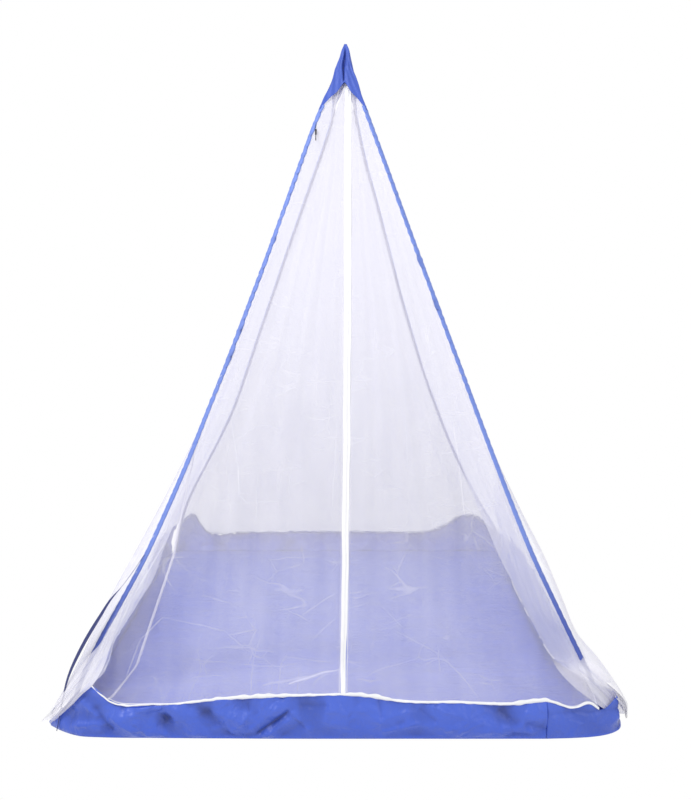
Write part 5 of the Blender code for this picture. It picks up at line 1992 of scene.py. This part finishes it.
def dress_poles(nodes: dict[str, bpy.types.Object]) -> None:
    """Gives the poles and their hub, which stay as they are, a better material."""
    pole_look = HardFinish("pole_glass_fibre", (0.70, 0.70, 0.73), (0.78, 0.78, 0.80)).make()
    hub_look = HardFinish("hub_moulded", (0.05, 0.05, 0.055), (0.10, 0.10, 0.11), 0.5).make()
    for name, node in nodes.items():
        if name.startswith("pole_"):
            node.data.materials.clear()
            node.data.materials.append(hub_look if name == "pole_hub" else pole_look)


def build_nets(groups: Groups) -> FrontNet:
    """Builds the five net panels and the loose net at the front corners.

    Args:
        groups: The shared node groups by name.

    Returns:
        The left half of the front, whose lines the zip and the hem follow.
    """
    front = (Corner.FRONT_LEFT, Corner.FRONT_RIGHT, FRONT_WALL[2:-1] + RIGHT_WALL[:4], True)
    left = FrontNet(
        "net_front_left", *front, pleat=FRONT_PLEAT, gathers=0.004, gather_length=0.16, seed=0.2,
        columns=150, edge_folds=(0.30, 0.0), fold_line=((0.1, 0.035), (1.2, 0.02)), thin=(0.34, 0.0),
    )
    right = FrontNet(
        "net_front_right", *front, left_half=False, gathers=0.004, gather_length=0.16, seed=0.7,
        columns=120, edge_folds=(0.0, 0.34), fold_line=((0.1, 0.06), (0.9, 0.02)), thin=(0.0, 0.30),
    )
    front_look = NetFinish("net_front", True, FRONT_PINCHES).make(groups)
    # painted shade: the back net is darkened towards the ground
    back_look = NetFinish("net_back", True, BACK_PINCHES, hem=-1.0, band=0.043, low_shade=0.58).make(groups)
    # painted light: the side nets get a brighter colour, standing in for light that comes through them from
    # outside
    side_look = NetFinish("net_side", False, colour=(0.88, 0.865, 0.95), sheen=0.6).make(groups)
    for net, look in (
        (left, front_look),
        (right, front_look),
        (NetPanel("net_right", Corner.FRONT_RIGHT, Corner.BACK_RIGHT, RIGHT_WALL[5:-1], False,
                  swell="right", gathers=0.009, tuck=1.2, bunched=-0.75, edge_folds=(0.62, 0.0),
                  fold_line=RIGHT_FOLD, belly=0.045, seed=0.35, columns=190), side_look),
        (NetPanel("net_back", Corner.BACK_RIGHT, Corner.BACK_LEFT, BACK_WALL, True,
                  gathers=0.006, gather_length=0.15, overlap=0.010, seed=0.55, columns=150), back_look),
        (NetPanel("net_left", Corner.BACK_LEFT, Corner.FRONT_LEFT, LEFT_WALL, False,
                  swell="left", gathers=0.009, bunched=0.90, edge_folds=(0.0, 0.34), fold_line=LEFT_FOLD,
                  seed=0.1, columns=190), side_look),
    ):
        fit_piece(net.build(), "net_white", look, net.node)
    slack_look = NetFinish(
        "net_slack", True, streaks=0.5, crumple=0.3, hole_cover=0.36, thread_cover=0.58
    ).make(groups)
    fit_piece(CornerSlack("net_left_slack", LEFT_SLACK).build(), "net_white", slack_look)
    fit_piece(CornerSlack("net_right_slack", RIGHT_SLACK, veil=0.3).build(), "net_white", slack_look)
    return left


def build_trim(groups: Groups, net: FrontNet) -> None:
    """Builds the hem, the zip, the cap, the strap and the pull.

    Args:
        groups: The shared node groups by name.
        net: The front net that the hem and the zip follow.
    """
    coil = HardFinish("zip_coil", (0.92, 0.92, 0.94), (0.96, 0.96, 0.97))
    # the deep colour here is painted shade in the pleat
    cap = NylonFinish("cap_nylon", (0.060, 0.112, 0.50), (0.060, 0.112, 0.50), crumple=0.005,
                      deep=(0.012, 0.034, 0.26))
    strap = NylonFinish("strap_web", (0.025, 0.035, 0.16), (0.025, 0.035, 0.16), crumple=0.001, thread=0.0012)
    black = HardFinish("pull_black", (0.012, 0.012, 0.013), (0.05, 0.05, 0.055))
    fit_piece(FrontHem().build(net), "net_white", TapeFinish("hem_tape").make())
    fit_piece(Zip().build_tape(net), "zip_white", TapeFinish("zip_tape").make(), "zip_tape")
    fit_piece(Zip().build_teeth(net), "zip_white", coil.make())
    fit_piece(PeakCap().build(), "cap_blue", cap.make(groups), "peak_cap")
    fit_piece(CornerStrap().build(), "strap_blue", strap.make(groups), "corner_strap")
    fit_piece(Pull().build(), "pull_black", black.make(), "pull_toggle")


def main() -> None:
    """Builds the whole net in order, and reports each piece."""
    logging.basicConfig(level=logging.INFO, format="%(message)s")
    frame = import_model()
    groups = make_groups()
    Studio().build()
    build_walls(groups)
    build_sleeves(groups)
    dress_poles(frame["nodes"])
    build_trim(groups, build_nets(groups))


if __name__ == "__main__":
    main()
